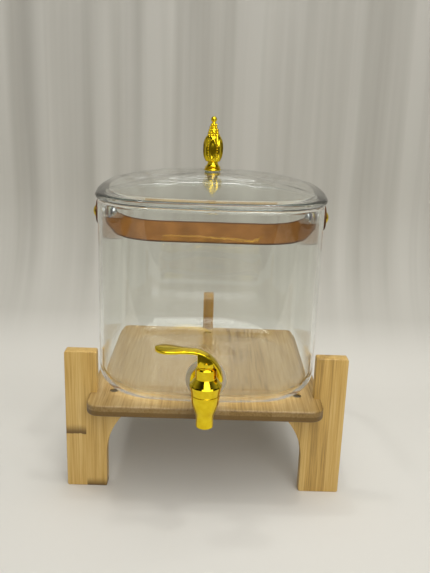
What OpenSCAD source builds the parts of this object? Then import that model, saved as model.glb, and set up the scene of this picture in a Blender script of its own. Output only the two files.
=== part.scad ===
// Glass drink dispenser: a rounded-square glass jar with a domed glass lid and a gilt finial,
// a leather bail strap, a gilt lever tap, and a three-legged bamboo stand.
// Millimetres, Z up. The origin lies on the table, under the middle of the whole footprint.

/* [Stand] */
// Width and depth of the square plate that carries the jar
plate_w = 237; // [215:1:280]
// Thickness of the plate
plate_t = 11.5; // [8:0.5:14]
// Height of the plate's upper face above the table
plate_top = 108; // [90:1:140]
// Corner radius of the plate in plan
plate_corner_r = 14; // [6:1:30]
// Radius of the plate's eased edges
plate_edge_r = 2; // [1:0.5:3.5]
// Thickness of each leg board
leg_t = 13; // [10:0.5:18]
// How far each leg stands above the plate
horn_h = 44; // [20:1:60]
// Depth by which each leg is let into the plate's edge
leg_let_in = 7; // [3:0.5:9]
// Width of the leg above the plate
horn_w = 32.5; // [24:0.5:40]
// Width of the leg at the table
foot_w = 42; // [36:1:48]
// Width of the leg's bracket right under the plate
bracket_w = 76; // [66:1:84]
// Height over which the bracket curves into the leg
bracket_drop = 58; // [40:1:70]
// Radius of the leg's outer corners
leg_corner_r = 2; // [1:0.5:5]
// Distance of the two front legs in front of the jar's axis
leg_setback = 75; // [60:1:90]
// Distance of the stand screws from the plate's edge
screw_inset = 24; // [20:0.5:28]
// Diameter of the stand screws
screw_d = 3.5; // [2.5:0.5:4]
// Diameter of the stand screws' heads
screw_head_d = 8; // [6:0.5:9]
// Height of the stand screws' heads
screw_head_h = 3; // [2:0.25:3.5]
// Length of the stand screws under the head
screw_len = 22; // [14:1:24]
// Depth of the counterbores in the plate
counterbore_depth = 4; // [3.5:0.25:5]

/* [Jar] */
// Width of the jar across opposite sides
jar_w = 231; // [205:1:240]
// Height of the jar
jar_h = 197; // [150:1:260]
// Radius of the jar's vertical corners
jar_corner_r = 60; // [45:1:75]
// Half of the angle that each bulged side turns through
side_sweep = 8; // [5:0.5:12]
// Thickness of the glass wall
jar_wall = 4; // [3:0.5:6]
// Thickness of the jar's floor
jar_floor = 6; // [5:0.5:10]
// Radius of the jar's rounded foot
jar_foot_r = 14; // [10:1:20]
// Diameter of the shallow hollow under the floor
punt_d = 140; // [80:5:160]
// Depth of the shallow hollow under the floor
punt_depth = 2; // [1:0.25:3]

/* [Lid] */
// How far the lid's rim reaches beyond the jar on each side
lid_overhang = 2.25; // [1.75:0.25:4.5]
// Thickness of the lid's round-edged rim
lid_rim_t = 6.5; // [5.5:0.25:9]
// Thickness of the lid's dome
lid_t = 4.5; // [3:0.25:5.5]
// Rise of the dome above the rim
dome_rise = 15.5; // [8:0.5:24]
// Depth of the flange that centres the lid in the jar's mouth
flange_drop = 4.5; // [3:0.25:10]
// Thickness of that flange
flange_t = 4; // [3:0.25:8]
// Gap between the flange and the inside of the jar
flange_gap = 1.8; // [1:0.1:3]

/* [Finial] */
// Diameter of the finial's foot
finial_foot_d = 18; // [15:0.5:21]
// Height of the finial's foot, up to its neck
finial_foot_h = 9; // [7:0.5:12]
// Diameter of the finial's neck
finial_neck_d = 10; // [9:0.5:12]
// Diameter of the lobed body
finial_body_d = 20; // [18:0.5:24]
// Height of the lobed body
finial_body_h = 27; // [22:0.5:34]
// Number of lobes on the body
finial_lobes = 8; // [6:1:10]
// Height of the ringed cone above the body
finial_cone_h = 14; // [9:0.5:18]
// Number of rings on the cone
finial_rings = 4; // [3:1:5]
// Diameter of the ball at the tip
finial_ball_d = 6.4; // [5:0.2:8]
// Diameter of the screw that holds the finial
finial_screw_d = 5; // [4:0.5:6]

/* [Strap] */
// Width of the leather strap
strap_w = 27; // [20:1:32]
// Thickness of the leather
strap_t = 2.8; // [2:0.1:4]
// Gap between the back of the jar and the strap that hangs behind it
strap_back_gap = 5.5; // [4:0.5:30]
// Radius of the strap's bends, inside
strap_bend_r = 58; // [40:1:70]
// Angle by which the strap hangs below level at rest
strap_tilt = 20; // [16:0.5:22]
// Distance of the pivots below the jar's rim
pivot_drop = 23; // [20:0.5:40]
// Diameter of the pivot studs
stud_d = 5; // [4:0.5:6]
// Diameter of the studs' domed heads
stud_head_d = 14; // [11:0.5:17]
// Height of the studs' domed heads
stud_head_h = 3.4; // [2:0.2:5]
// Diameter of the spacers between strap and glass
spacer_d = 13; // [10:0.5:16]

/* [Tap] */
// Distance of the tap's upright axis in front of the glass
tap_reach = 30; // [29:0.5:44]
// Height of the tap's shank above the plate
shank_h = 34; // [30:0.5:60]
// Outer diameter of the threaded shank
shank_d = 16; // [14:0.5:18]
// Bore of the shank
shank_bore_d = 10; // [8:0.5:11]
// Diameter of the tap's outer gasket
gasket_d = 39; // [32:0.5:44]
// Thickness of the tap's gaskets
gasket_t = 3; // [2:0.25:4]
// Widest diameter of the tap's body, at its top
tap_top_d = 30.4; // [28:0.4:36]
// Diameter of the body below its shoulder band
tap_bell_d = 26.8; // [25:0.4:30]
// Height of the body's top above the shank's axis
tap_top_h = 8; // [7.5:0.5:11]
// Height of the tapered shoulder band
tap_band_h = 10; // [7:0.5:12]
// Height over which the body narrows to the spout
tap_bell_h = 26; // [18:0.5:28]
// Diameter of the spout
spout_d = 16.5; // [14.5:0.5:19]
// Straight length of the spout
spout_len = 7; // [6:0.5:16]
// Bore of the spout
spout_bore_d = 11; // [8:0.5:12]
// Diameter of the valve chamber
chamber_d = 18; // [17:0.5:19]
// Depth of the valve seat below the shank's axis
seat_drop = 11; // [10:0.5:13]
// Diameter of the bonnet's drum
drum_d = 19.5; // [18:0.5:21]
// Height of the bonnet above the body
bonnet_h = 16; // [14:0.5:20]
// Diameter of the valve stem
stem_d = 5; // [4:0.5:5.5]
// Diameter of the valve plug
plug_d = 14; // [12.5:0.5:15]
// Height of the valve plug
plug_h = 5; // [4:0.5:6]
// Wire diameter of the valve spring
spring_wire_d = 0.9; // [0.6:0.1:1.1]
// Turns of the valve spring
spring_turns = 4; // [3:0.5:4.5]

/* [Lever] */
// Length of the lever from the stem to its tip
lever_len = 47; // [42:0.5:70]
// Thickness of the lever
lever_t = 3.4; // [2.4:0.2:3.6]
// Width of the lever's paddle
paddle_w = 19; // [14:0.5:22]
// Width of the lever's neck
neck_w = 11.4; // [9:0.2:13]
// Width of the lever over its two cheeks
fork_w = 13; // [12:0.5:16]
// Outer radius of the lever's arch
arch_r = 29.6; // [28.5:0.2:34]
// Angle by which the arm rises towards the tip
arm_rise = 3; // [0:0.5:8]
// Diameter of the lever's pin
pin_d = 2.8; // [2:0.2:3]
// Height of the pin above the cam washer
pin_h = 2.8; // [2.6:0.1:4]
// Offset of the cam heel from the pin
cam_offset = 5.5; // [4:0.25:6.5]

/* [Clearances] */
// Radial gap of a shaft in its hole
run_gap = 0.05; // [0.02:0.01:0.1]
// Gap at a loose seat between two moving pieces
seat_gap = 0.3; // [0.2:0.05:0.5]
// Gap between the strap and the lid's rim
strap_gap = 1; // [0.6:0.1:2]
// Least gap between the raised strap and the finial's tip
strap_lift_gap = 10; // [5:1:30]
// Gap between the lever's arch and the bonnet's drum
arch_gap = 0.4; // [0.3:0.1:1]
// Gap of a gasket on the curved glass
glass_fit = 0.05; // [0.02:0.01:0.1]

/* [Hidden] */
$fn = 128;

// Colours
bamboo = "#D8B478";
bamboo_edge = "#C79F5F";
clear_glass = [0.80, 0.91, 0.89, 0.45];
gilt = "#DDB732";
steel = "#C3C6C8";
silicone = [0.90, 0.90, 0.87, 0.8];
leather = "#8C5523";

// Overlap that lets a cut pass cleanly through a face
cut = 1;
// Facets on the long, nearly flat curves of the jar's sides
side_facets = 900;

// Stand
plate_half = plate_w / 2;
plate_under = plate_top - plate_t;
horn_x = plate_half - leg_let_in;
notch_w = leg_t + 2 * run_gap;
leg_reach = horn_x + horn_w;
leg_h = plate_top + horn_h;
bracket_step = bracket_w - foot_w;
bracket_r = (bracket_step * bracket_step + bracket_drop * bracket_drop) / (2 * bracket_step);
screw_reach = plate_half - screw_inset;
counterbore_gap = 0.5;

// Jar: four bulged sides of radius side_r, joined by four tangent corners
jar_half = jar_w / 2;
rear_leg_gap = 1.5;
// The plate lies far enough back for the rear leg to clear the jar
plate_shift = max(0, jar_half + rear_leg_gap - horn_x);
side_chord = cos(side_sweep) - sin(side_sweep);
function bulge_r(half, corner) = (half - corner * side_chord) / (1 - side_chord);
side_r = bulge_r(jar_half, jar_corner_r);
jar_rim = plate_top + jar_h;
foot_inner_r = jar_foot_r - jar_wall;
floor_inset = jar_foot_r + cut;
floor_lap = 8;
floor_ring = floor_inset + floor_lap;
crown_steps = 5;
foot_steps = 8;
floor_proud = 0.05;
corner_proud = 0.02;
corner_lap = cut / side_r * 180 / PI;
punt_slope = 6;

// Lid
lid_half = jar_half + lid_overhang;
lid_corner_r = jar_corner_r + lid_overhang;
lid_seat = jar_rim + seat_gap;
lid_rim_top = lid_seat + lid_rim_t;
lid_top = lid_rim_top + dome_rise;

// Finial
finial_gasket_t = 1;
finial_base = lid_top + finial_gasket_t;
finial_gasket_inset = 1;
finial_gasket_d = finial_foot_d - 2 * finial_gasket_inset;
finial_washer_d = finial_gasket_d - 2 * finial_gasket_inset;
finial_washer_t = 1;
finial_head_d = 2 * finial_screw_d;
finial_head_h = 0.7 * finial_screw_d;
finial_socket_d = 0.6 * finial_screw_d;
lid_hole_gap = 0.5;
finial_thread_depth = 12;
lid_under = lid_top - lid_t;
finial_washer_top = lid_under - finial_gasket_t;
finial_head_top = finial_washer_top - finial_washer_t;
finial_step_h = 3;
finial_bead_r = 1.1;
finial_body_z = finial_base + finial_foot_h;
finial_cone_z = finial_body_z + finial_body_h;
lobe_share = 0.21;
lobe_r = finial_body_d * lobe_share;
lobe_sink = 1;
lobe_gap = 1;
core_r = finial_body_d / 2 - lobe_r + lobe_sink;
core_taper_h = finial_body_h / 5;
cone_low_r = core_r - lobe_sink;
tip_r = finial_ball_d / 2;
tip_neck_r = 0.8 * tip_r;
tip_z = finial_cone_h + 0.7 * tip_r;
ring_pitch = finial_cone_h / finial_rings;
ring_r = 0.45 * ring_pitch;
ring_sink = 0.4;
finial_top = finial_cone_z + tip_z + tip_r;

// Strap and its pivots
pivot_z = jar_rim - pivot_drop;
strap_half = lid_half + strap_gap;
strap_reach = max((jar_half + strap_back_gap) / cos(strap_tilt), finial_top - pivot_z + strap_lift_gap);
eyelet_flange_t = 0.6;
eyelet_rim = 3;
eyelet_wall = 1;
eyelet_flange_d = stud_d + 2 * eyelet_rim;
eyelet_barrel_d = stud_d + 2 * eyelet_wall;
stud_hole_gap = 1.5;
stud_hole_d = stud_d + 2 * stud_hole_gap;
stud_gasket_t = 1;
stud_gasket_rim = 0.5;
stud_gasket_d = spacer_d + 2 * stud_gasket_rim;
spacer_start = jar_half + stud_gasket_t;
spacer_end = strap_half - eyelet_flange_t - seat_gap;
stud_head_start = strap_half + strap_t + eyelet_flange_t + seat_gap;
cap_nut_start = jar_half - jar_wall - stud_gasket_t;
cap_nut_len = 7;
cap_nut_wall = 2;
cap_nut_af = stud_d + 2 * cap_nut_wall;
cap_nut_relief = 0.5;
stud_grip = 5;

// Tap
tap_front = jar_half + tap_reach;
tap_z = plate_top + shank_h;
tap_top_z = tap_z + tap_top_h;
tap_band_z = tap_top_z - tap_band_h;
tap_bell_z = tap_band_z - tap_bell_h;
outlet_z = tap_bell_z - spout_len;
valve_seat_z = tap_z - seat_drop;
bell_step = (tap_bell_d - spout_d) / 2;
bell_turn = 2 * atan(bell_step / tap_bell_h);
bell_radii = tap_bell_h / sin(bell_turn);
bell_convex_share = 0.7;
bell_convex_r = bell_convex_share * bell_radii;
bell_concave_r = bell_radii - bell_convex_r;
bell_meet_z = tap_band_z - bell_convex_r * sin(bell_turn);
shank_hole_gap = 0.5;
shank_hole_d = shank_d + 2 * shank_hole_gap;
shank_flange_d = tap_top_d;
shank_flange_t = 3;
lock_nut_wall = 4;
lock_nut_af = shank_d + 2 * lock_nut_wall;
lock_nut_t = 6;
lock_collar_t = 1.5;
lock_collar_rim = 1.5;
lock_nut_start = jar_half - jar_wall - gasket_t;
inner_gasket_rim = 3;
inner_gasket_d = lock_nut_af + 2 * inner_gasket_rim;
shank_overrun = 2.5;
shank_end = lock_nut_start - lock_nut_t - shank_overrun;

// Bonnet, valve and lever
bonnet_spigot_h = 4;
bonnet_under_z = tap_top_z - bonnet_spigot_h;
bonnet_ledge = 1;
bonnet_base_d = tap_top_d - 2 * bonnet_ledge;
bonnet_cone_h = 6;
bonnet_top_z = tap_top_z + bonnet_h;
bonnet_edge = 1;
o_ring_wire_d = 1.8;
o_ring_mean_r = stem_d / 2 + 2 * run_gap + o_ring_wire_d / 2;
o_ring_bed_d = 2 * o_ring_mean_r + o_ring_wire_d + 2 * run_gap;
cam_washer_t = 1.2;
cam_washer_inset = 1.75;
cam_washer_d = drum_d - 2 * cam_washer_inset;
cam_washer_z = bonnet_top_z + cam_washer_t;
pin_z = cam_washer_z + pin_h;
stem_collar_t = 1.2;
stem_collar_inset = 1.5;
stem_collar_d = plug_d - 2 * stem_collar_inset;
plug_web = 1;
plug_edge = 1;
plug_top_z = valve_seat_z + plug_h;
spring_low_z = plug_top_z + stem_collar_t;
spring_stand_off = 1.7;
spring_mean_d = stem_d + 2 * spring_stand_off;
tongue_flat = 0.3;
tongue_t = stem_d - 2 * tongue_flat;
tongue_wall = 1.5;
tongue_r = pin_d / 2 + tongue_wall;
slot_w = tongue_t + 2 * seat_gap;
heel_r = pin_h - seat_gap;
pin_head_rim = 0.8;
pin_head_d = pin_d + 2 * pin_head_rim;
pin_head_t = 0.9;
arch_overhang = 0.8;
arch_x = tap_top_d / 2 + arch_overhang - arch_r;
arch_inner_r = arch_r - lever_t;
arch_at_drum = drum_d / 2 + arch_gap - arch_x;
arch_rise = sqrt(arch_inner_r * arch_inner_r - arch_at_drum * arch_at_drum);
arch_z = bonnet_top_z - bonnet_edge - arch_rise;
neck_set_back = 2;
cheek_margin = 1;
skirt_drop = 11;
skirt_z = bonnet_top_z - skirt_drop;
paddle_r = paddle_w / 2;
paddle_x = -(lever_len - paddle_r);

// The axis of the jar lies behind the origin, so that the origin is the middle of the footprint
axis_y = (tap_front + tap_top_d / 2 - plate_shift - leg_reach) / 2;

module on_jar_axis() {
    translate([0, axis_y, 0]) children();
}

// Places that repeat
module at_leg(side) {
    on_jar_axis() {
        if (side == "left") translate([0, -leg_setback, 0]) mirror([1, 0, 0]) children();
        if (side == "right") translate([0, -leg_setback, 0]) children();
        if (side == "rear") translate([0, plate_shift, 0]) rotate(90) children();
    }
}

module at_legs() {
    for (side = ["left", "right", "rear"]) {
        at_leg(side) children();
    }
}

// Pieces on the jar's walls are drawn on its +X side, with X pointing out of the glass
module on_jar_sides() {
    on_jar_axis() translate([0, 0, pivot_z]) {
        for (turn = [0, 180]) {
            rotate(turn) children();
        }
    }
}

module on_jar_front() {
    on_jar_axis() translate([0, 0, tap_z]) rotate(-90) children();
}

module on_tap_axis() {
    on_jar_axis() translate([0, -tap_front, 0]) children();
}

module along_x(start, diameter, length) {
    translate([start, 0, 0]) rotate([0, 90, 0]) cylinder(d = diameter, h = length);
}

module along_y(diameter, length) {
    rotate([90, 0, 0]) cylinder(d = diameter, h = length, center = true);
}

// Rounded-square shapes: the ends of the sides lie inside the corners, which stand a hair proud,
// and so does the middle of the floor, so that no two faces of these pieces coincide
module sweep_sides(half, corner) {
    side = bulge_r(half, corner);
    sweep = side_sweep + corner_lap;
    for (quarter = [0:3]) {
        rotate(90 * quarter)
            translate([half - side, 0, 0])
            rotate(-sweep)
            rotate_extrude(angle = 2 * sweep)
            translate([side, 0]) children();
    }
}

module sweep_corners(half, corner) {
    corner_at = (bulge_r(half, corner) - corner) * sin(side_sweep);
    for (quarter = [0:3]) {
        rotate(90 * quarter)
            translate([corner_at, corner_at, 0])
            rotate(side_sweep)
            rotate_extrude(angle = 90 - 2 * side_sweep)
            translate([corner, 0]) children();
    }
}

function turned(p, angle) = [
    p.x * cos(angle) - p.y * sin(angle),
    p.x * sin(angle) + p.y * cos(angle)
];

// Point on a rounded square where its outline faces the given direction
function outline_point(half, corner, facing) =
    let (
        side = bulge_r(half, corner),
        quarter = round(facing / 90),
        off = facing - 90 * quarter,
        on_side = abs(off) <= side_sweep,
        corner_at = (side - corner) * sin(side_sweep),
        from = on_side ? [half - side, 0] : [corner_at, sign(off) * corner_at],
        radius = on_side ? side : corner
    )
    turned([from.x + radius * cos(off), from.y + radius * sin(off)], 90 * quarter);

// Middle of the jar's floor, whose edge lies inside the swept ring
corner_turn = 90 - 2 * side_sweep;
floor_facings = [
    -side_sweep / 2,
    side_sweep / 2,
    for (i = [1:3]) side_sweep + corner_turn * i / 4
];
floor_outline = [
    for (quarter = [0:3])
        for (facing = floor_facings)
            outline_point(jar_half - floor_inset, jar_corner_r - floor_inset, 90 * quarter + facing)
];

// Stand
module edge_section(width, height, edge) {
    square([width - edge, height]);
    translate([0, edge]) square([width, height - 2 * edge]);
    for (level = [edge, height - edge]) {
        translate([width - edge, level]) circle(edge);
    }
}

module eased_slab(half, corner, height, edge) {
    inner = half - corner;
    translate([-inner, -inner, 0]) cube([2 * inner, 2 * inner, height]);
    for (quarter = [0:3]) {
        rotate(90 * quarter) {
            translate([inner, inner, 0])
                rotate([90, 0, 0])
                linear_extrude(2 * inner)
                edge_section(corner, height, edge);
            translate([inner, inner, 0])
                rotate_extrude(angle = 90)
                edge_section(corner, height, edge);
        }
    }
}

module base_plate() {
    color(bamboo) difference() {
        on_jar_axis() translate([0, plate_shift, plate_under]) {
            eased_slab(plate_half, plate_corner_r, plate_t, plate_edge_r);
        }
        at_legs() translate([screw_reach, 0, 0]) {
            translate([0, 0, plate_under - cut])
                cylinder(d = screw_d + 2 * run_gap, h = plate_t + 2 * cut);
            translate([0, 0, plate_top - counterbore_depth])
                cylinder(d = screw_head_d + 2 * counterbore_gap, h = counterbore_depth + cut);
        }
        at_legs() translate([horn_x, -notch_w / 2, plate_under - cut]) {
            cube([leg_let_in + cut, notch_w, plate_t + 2 * cut]);
        }
    }
}

module rounded_rect(low, high, radius) {
    translate([low.x + radius, low.y]) square([high.x - low.x - 2 * radius, high.y - low.y]);
    translate([low.x, low.y + radius]) square([high.x - low.x, high.y - low.y - 2 * radius]);
    for (x = [low.x + radius, high.x - radius], y = [low.y + radius, high.y - radius]) {
        translate([x, y]) circle(radius);
    }
}

module leg_outline() {
    foot_x = leg_reach - foot_w;
    rounded_rect([foot_x, 0], [leg_reach, plate_under], leg_corner_r);
    rounded_rect([horn_x, 0], [leg_reach, leg_h], leg_corner_r);
    difference() {
        translate([leg_reach - bracket_w, plate_under - bracket_drop])
            square([bracket_w - horn_w, bracket_drop]);
        translate([foot_x - bracket_r, plate_under - bracket_drop]) circle(bracket_r);
    }
}

module leg_board() {
    difference() {
        rotate([90, 0, 0]) translate([0, 0, -leg_t / 2]) linear_extrude(leg_t) leg_outline();
        translate([screw_reach, 0, plate_top - counterbore_depth - screw_len - cut])
            cylinder(d = screw_d + 2 * run_gap, h = screw_len);
    }
}

module front_left_leg() {
    color(bamboo_edge) at_leg("left") leg_board();
}

module front_right_leg() {
    color(bamboo_edge) at_leg("right") leg_board();
}

module rear_leg() {
    color(bamboo_edge) at_leg("rear") leg_board();
}

module stand_screws() {
    color(steel) at_legs() translate([screw_reach, 0, plate_top - counterbore_depth]) {
        cylinder(d = screw_head_d, h = screw_head_h);
        translate([0, 0, -screw_len]) cylinder(d = screw_d, h = screw_len);
    }
}

// Jar: the section hangs inwards from the outer face of the glass
function arc_points(middle, radius, from, to, steps) = [
    for (i = [0:steps])
        let (angle = from + (to - from) * i / steps)
        middle + radius * [cos(angle), sin(angle)]
];

function crown_points(middle, radius) = [
    for (i = [0:crown_steps])
        let (angle = 180 * i / crown_steps)
        middle + radius * [cos(angle), sin(angle) / cos(90 / crown_steps)]
];

module jar_section(proud) {
    half_wall = jar_wall / 2;
    low = floor_proud - proud;
    high = jar_floor - low;
    inner_foot_x = -jar_wall - proud - foot_inner_r;
    polygon(concat(
        [[-floor_ring, low]],
        arc_points([proud - jar_foot_r, low + jar_foot_r], jar_foot_r, -90, 0, foot_steps),
        crown_points([-half_wall, jar_h - half_wall], half_wall + proud),
        arc_points([inner_foot_x, high + foot_inner_r], foot_inner_r, 0, -90, foot_steps),
        [[-floor_ring, high]]
    ));
}

module glass_jar() {
    color(clear_glass) difference() {
        on_jar_axis() translate([0, 0, plate_top]) {
            sweep_sides(jar_half, jar_corner_r) jar_section(0);
            sweep_corners(jar_half, jar_corner_r) jar_section(corner_proud);
            linear_extrude(jar_floor) polygon(floor_outline);
        }
        on_jar_axis() translate([0, 0, plate_top - cut])
            cylinder(
                d1 = punt_d + 2 * punt_slope * cut,
                d2 = punt_d - 2 * punt_slope * punt_depth,
                h = punt_depth + cut
            );
        on_jar_front() along_x(jar_half - jar_wall - cut, shank_hole_d, jar_wall + 2 * cut);
        on_jar_sides() along_x(jar_half - jar_wall - cut, stud_hole_d, jar_wall + 2 * cut);
    }
}

// The face of a jar side, moved outwards by the given distance
module side_face(offset_out) {
    translate([jar_half - side_r, 0, 0])
        cylinder(r = side_r + offset_out, h = jar_half, center = true, $fn = side_facets);
}

module outer_gasket(outer_d, bore_d, thickness) {
    difference() {
        along_x(jar_half - cut, outer_d, thickness + cut);
        along_x(jar_half - 2 * cut, bore_d, thickness + 3 * cut);
        side_face(glass_fit);
    }
}

module inner_gasket(outer_d, bore_d, thickness) {
    inside = jar_half - jar_wall - thickness;
    intersection() {
        difference() {
            along_x(inside, outer_d, thickness + cut);
            along_x(inside - cut, bore_d, thickness + 3 * cut);
        }
        side_face(-jar_wall - glass_fit);
    }
}

// Strap hardware
module stud_section() {
    dome_r = (stud_head_d * stud_head_d / 4 + stud_head_h * stud_head_h) / (2 * stud_head_h);
    shank_start = cap_nut_start - stud_grip;
    translate([0, shank_start]) square([stud_d / 2, stud_head_start - shank_start + cut]);
    translate([0, stud_head_start]) intersection() {
        square([stud_head_d / 2, stud_head_h]);
        translate([0, stud_head_h - dome_r]) circle(dome_r);
    }
}

module strap_studs() {
    color(gilt) on_jar_sides() rotate([0, 90, 0]) rotate_extrude() stud_section();
}

module stud_spacers() {
    color(gilt) on_jar_sides() difference() {
        along_x(spacer_start, spacer_d, spacer_end - spacer_start);
        along_x(spacer_start - cut, stud_d + 2 * run_gap, spacer_end - spacer_start + 2 * cut);
    }
}

module stud_gaskets() {
    color(silicone) on_jar_sides() {
        outer_gasket(stud_gasket_d, stud_d + 2 * run_gap, stud_gasket_t);
        inner_gasket(stud_gasket_d, stud_d + 2 * run_gap, stud_gasket_t);
    }
}

module stud_cap_nuts() {
    hex_len = cap_nut_len - cap_nut_af / 2 + cut;
    color(steel) on_jar_sides() difference() {
        union() {
            translate([cap_nut_start - hex_len, 0, 0])
                rotate([0, 90, 0]) cylinder(d = cap_nut_af / cos(30), h = hex_len, $fn = 6);
            intersection() {
                translate([cap_nut_start - hex_len, 0, 0]) sphere(cap_nut_af / 2);
                along_x(cap_nut_start - cap_nut_len - cut, cap_nut_af, cap_nut_len);
            }
        }
        along_x(
            cap_nut_start - stud_grip - cap_nut_relief,
            stud_d + 2 * run_gap,
            stud_grip + cap_nut_relief + cut
        );
    }
}

// Strap: a flat band bent into a U, hung on the studs
module strap_frame() {
    on_jar_axis() translate([0, 0, pivot_z]) rotate([-strap_tilt, 0, 0]) children();
}

module strap_band() {
    straight = strap_reach - strap_bend_r;
    across = strap_half - strap_bend_r;
    for (turn = [0, 1]) {
        mirror([turn, 0, 0]) {
            along_x(strap_half, strap_w, strap_t);
            translate([strap_half, 0, -strap_w / 2]) cube([strap_t, straight, strap_w]);
            translate([across, straight, -strap_w / 2])
                rotate_extrude(angle = 90)
                translate([strap_bend_r, 0]) square([strap_t, strap_w]);
        }
    }
    translate([-across, strap_reach, -strap_w / 2]) cube([2 * across, strap_t, strap_w]);
}

module strap_handle() {
    color(leather) strap_frame() difference() {
        strap_band();
        for (turn = [0, 180]) {
            rotate([0, 0, turn])
                along_x(strap_half - cut, eyelet_barrel_d + 2 * run_gap, strap_t + 2 * cut);
        }
    }
}

module strap_eyelets() {
    color(gilt) strap_frame() for (turn = [0, 180]) {
        rotate([0, 0, turn]) difference() {
            union() {
                along_x(strap_half - eyelet_flange_t, eyelet_barrel_d, strap_t + 2 * eyelet_flange_t);
                along_x(strap_half - eyelet_flange_t, eyelet_flange_d, eyelet_flange_t);
                along_x(strap_half + strap_t, eyelet_flange_d, eyelet_flange_t);
            }
            along_x(strap_half - cut, stud_d + 2 * run_gap, strap_t + 2 * cut);
        }
    }
}

// Lid: rings of the rounded square, lofted through its section
lid_bead_r = lid_rim_t / 2;
lid_edge_share = 1 - lid_bead_r / lid_half;
lid_flat_margin = 2;
lid_flat_share = (finial_foot_d / 2 + lid_flat_margin) / lid_half;
flange_edge = 1;
flange_share = (jar_half - jar_wall - flange_gap) / lid_half;
flange_inner_share = flange_share - flange_t / lid_half;
dome_steps = 8;
bead_steps = 6;

function dome_z(share) =
    let (run = (share - lid_flat_share) / (lid_edge_share - lid_flat_share))
    lid_rim_top + dome_rise * (1 - run * run);

lid_rings = [
    for (i = [0:dome_steps])
        let (share = lid_flat_share + (lid_edge_share - lid_flat_share) * i / dome_steps)
        [share, dome_z(share)],
    for (i = [1:bead_steps])
        let (angle = 90 - 180 * i / bead_steps)
        [
            lid_edge_share + lid_bead_r / lid_half * cos(angle),
            lid_seat + lid_bead_r * (1 + sin(angle))
        ],
    [flange_share, lid_seat],
    [flange_share, lid_seat - flange_drop + flange_edge],
    [flange_share - flange_edge / lid_half, lid_seat - flange_drop],
    [flange_inner_share, lid_seat - flange_drop],
    for (i = [0:dome_steps])
        let (share = flange_inner_share + (lid_flat_share - flange_inner_share) * i / dome_steps)
        [share, dome_z(share) - lid_t]
];

// Directions around the outline: a few on each bulged side, more round each corner
side_steps = 4;
corner_steps = 8;
lid_facings = [
    for (quarter = [0:3])
        each concat(
            [
                for (i = [0:side_steps - 1])
                    90 * quarter - side_sweep + 2 * side_sweep * i / side_steps
            ],
            [
                for (i = [0:corner_steps - 1])
                    90 * quarter + side_sweep + corner_turn * i / corner_steps
            ]
        )
];

module loft_lid() {
    around = len(lid_facings);
    rings = len(lid_rings);
    points = [
        for (ring = lid_rings)
            for (facing = lid_facings)
                let (p = ring[0] * outline_point(lid_half, lid_corner_r, facing))
                [p.x, p.y, ring[1]]
    ];
    last = around * (rings - 1);
    walls = [
        for (r = [0:rings - 2])
            for (i = [0:around - 1])
                let (a = r * around + i, b = r * around + (i + 1) % around)
                each [[a, a + around, b], [b, a + around, b + around]]
    ];
    cap_top = [for (i = [1:around - 2]) [0, i, i + 1]];
    cap_under = [for (i = [1:around - 2]) [last, last + i + 1, last + i]];
    polyhedron(points, [for (face = concat(walls, cap_top, cap_under)) [face[0], face[2], face[1]]]);
}

module glass_lid() {
    color(clear_glass) on_jar_axis() difference() {
        loft_lid();
        translate([0, 0, lid_under - cut])
            cylinder(d = finial_screw_d + 2 * lid_hole_gap, h = lid_t + 2 * cut);
    }
}

// Finial
module finial_foot() {
    bead_at = finial_foot_d / 2 - finial_bead_r;
    flare_r = finial_foot_h - finial_step_h;
    translate([0, 0, finial_base]) rotate_extrude() {
        square([bead_at, finial_step_h]);
        translate([bead_at, finial_step_h - finial_bead_r]) circle(finial_bead_r);
        translate([0, finial_step_h]) difference() {
            square([bead_at, flare_r]);
            translate([finial_neck_d / 2 + flare_r, flare_r]) circle(flare_r);
        }
    }
}

module lens_section(length, half_width) {
    radius = (length * length / 4 + half_width * half_width) / (2 * half_width);
    intersection() {
        translate([half_width - radius, 0]) circle(radius);
        translate([0, -length / 2]) square([half_width, length]);
    }
}

module finial_lobed_body() {
    translate([0, 0, finial_body_z]) rotate_extrude() polygon([
        [0, 0],
        [finial_neck_d / 2, 0],
        [core_r, core_taper_h],
        [core_r, finial_body_h - core_taper_h],
        [cone_low_r, finial_body_h],
        [0, finial_body_h]
    ]);
    for (lobe = [0:finial_lobes - 1]) {
        rotate(360 * lobe / finial_lobes)
            translate([finial_body_d / 2 - lobe_r, 0, finial_body_z + finial_body_h / 2])
            rotate_extrude() lens_section(finial_body_h - lobe_gap, lobe_r);
    }
}

module finial_cone() {
    translate([0, 0, finial_cone_z]) rotate_extrude() intersection() {
        union() {
            polygon([[0, 0], [cone_low_r, 0], [tip_neck_r, finial_cone_h], [0, finial_cone_h]]);
            for (i = [0:finial_rings - 1]) {
                level = (i + 0.5) * ring_pitch;
                at_r = cone_low_r + (tip_neck_r - cone_low_r) * level / finial_cone_h - ring_sink;
                translate([at_r, level]) circle(ring_r);
            }
            translate([0, tip_z]) circle(tip_r);
        }
        square([finial_body_d, tip_z + tip_r]);
    }
}

module finial() {
    color(gilt) on_jar_axis() difference() {
        union() {
            finial_foot();
            finial_lobed_body();
            finial_cone();
        }
        translate([0, 0, finial_base - cut])
            cylinder(d = finial_screw_d + 2 * run_gap, h = finial_thread_depth + cut);
    }
}

module ring_plate(z, outer_d, bore_d, thickness) {
    translate([0, 0, z]) difference() {
        cylinder(d = outer_d, h = thickness);
        translate([0, 0, -cut]) cylinder(d = bore_d, h = thickness + 2 * cut);
    }
}

module finial_gaskets() {
    color(silicone) on_jar_axis() for (z = [lid_top, finial_washer_top]) {
        ring_plate(z, finial_gasket_d, finial_screw_d + 2 * run_gap, finial_gasket_t);
    }
}

module finial_washer() {
    color(steel) on_jar_axis()
        ring_plate(finial_head_top, finial_washer_d, finial_screw_d + 2 * run_gap, finial_washer_t);
}

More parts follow.
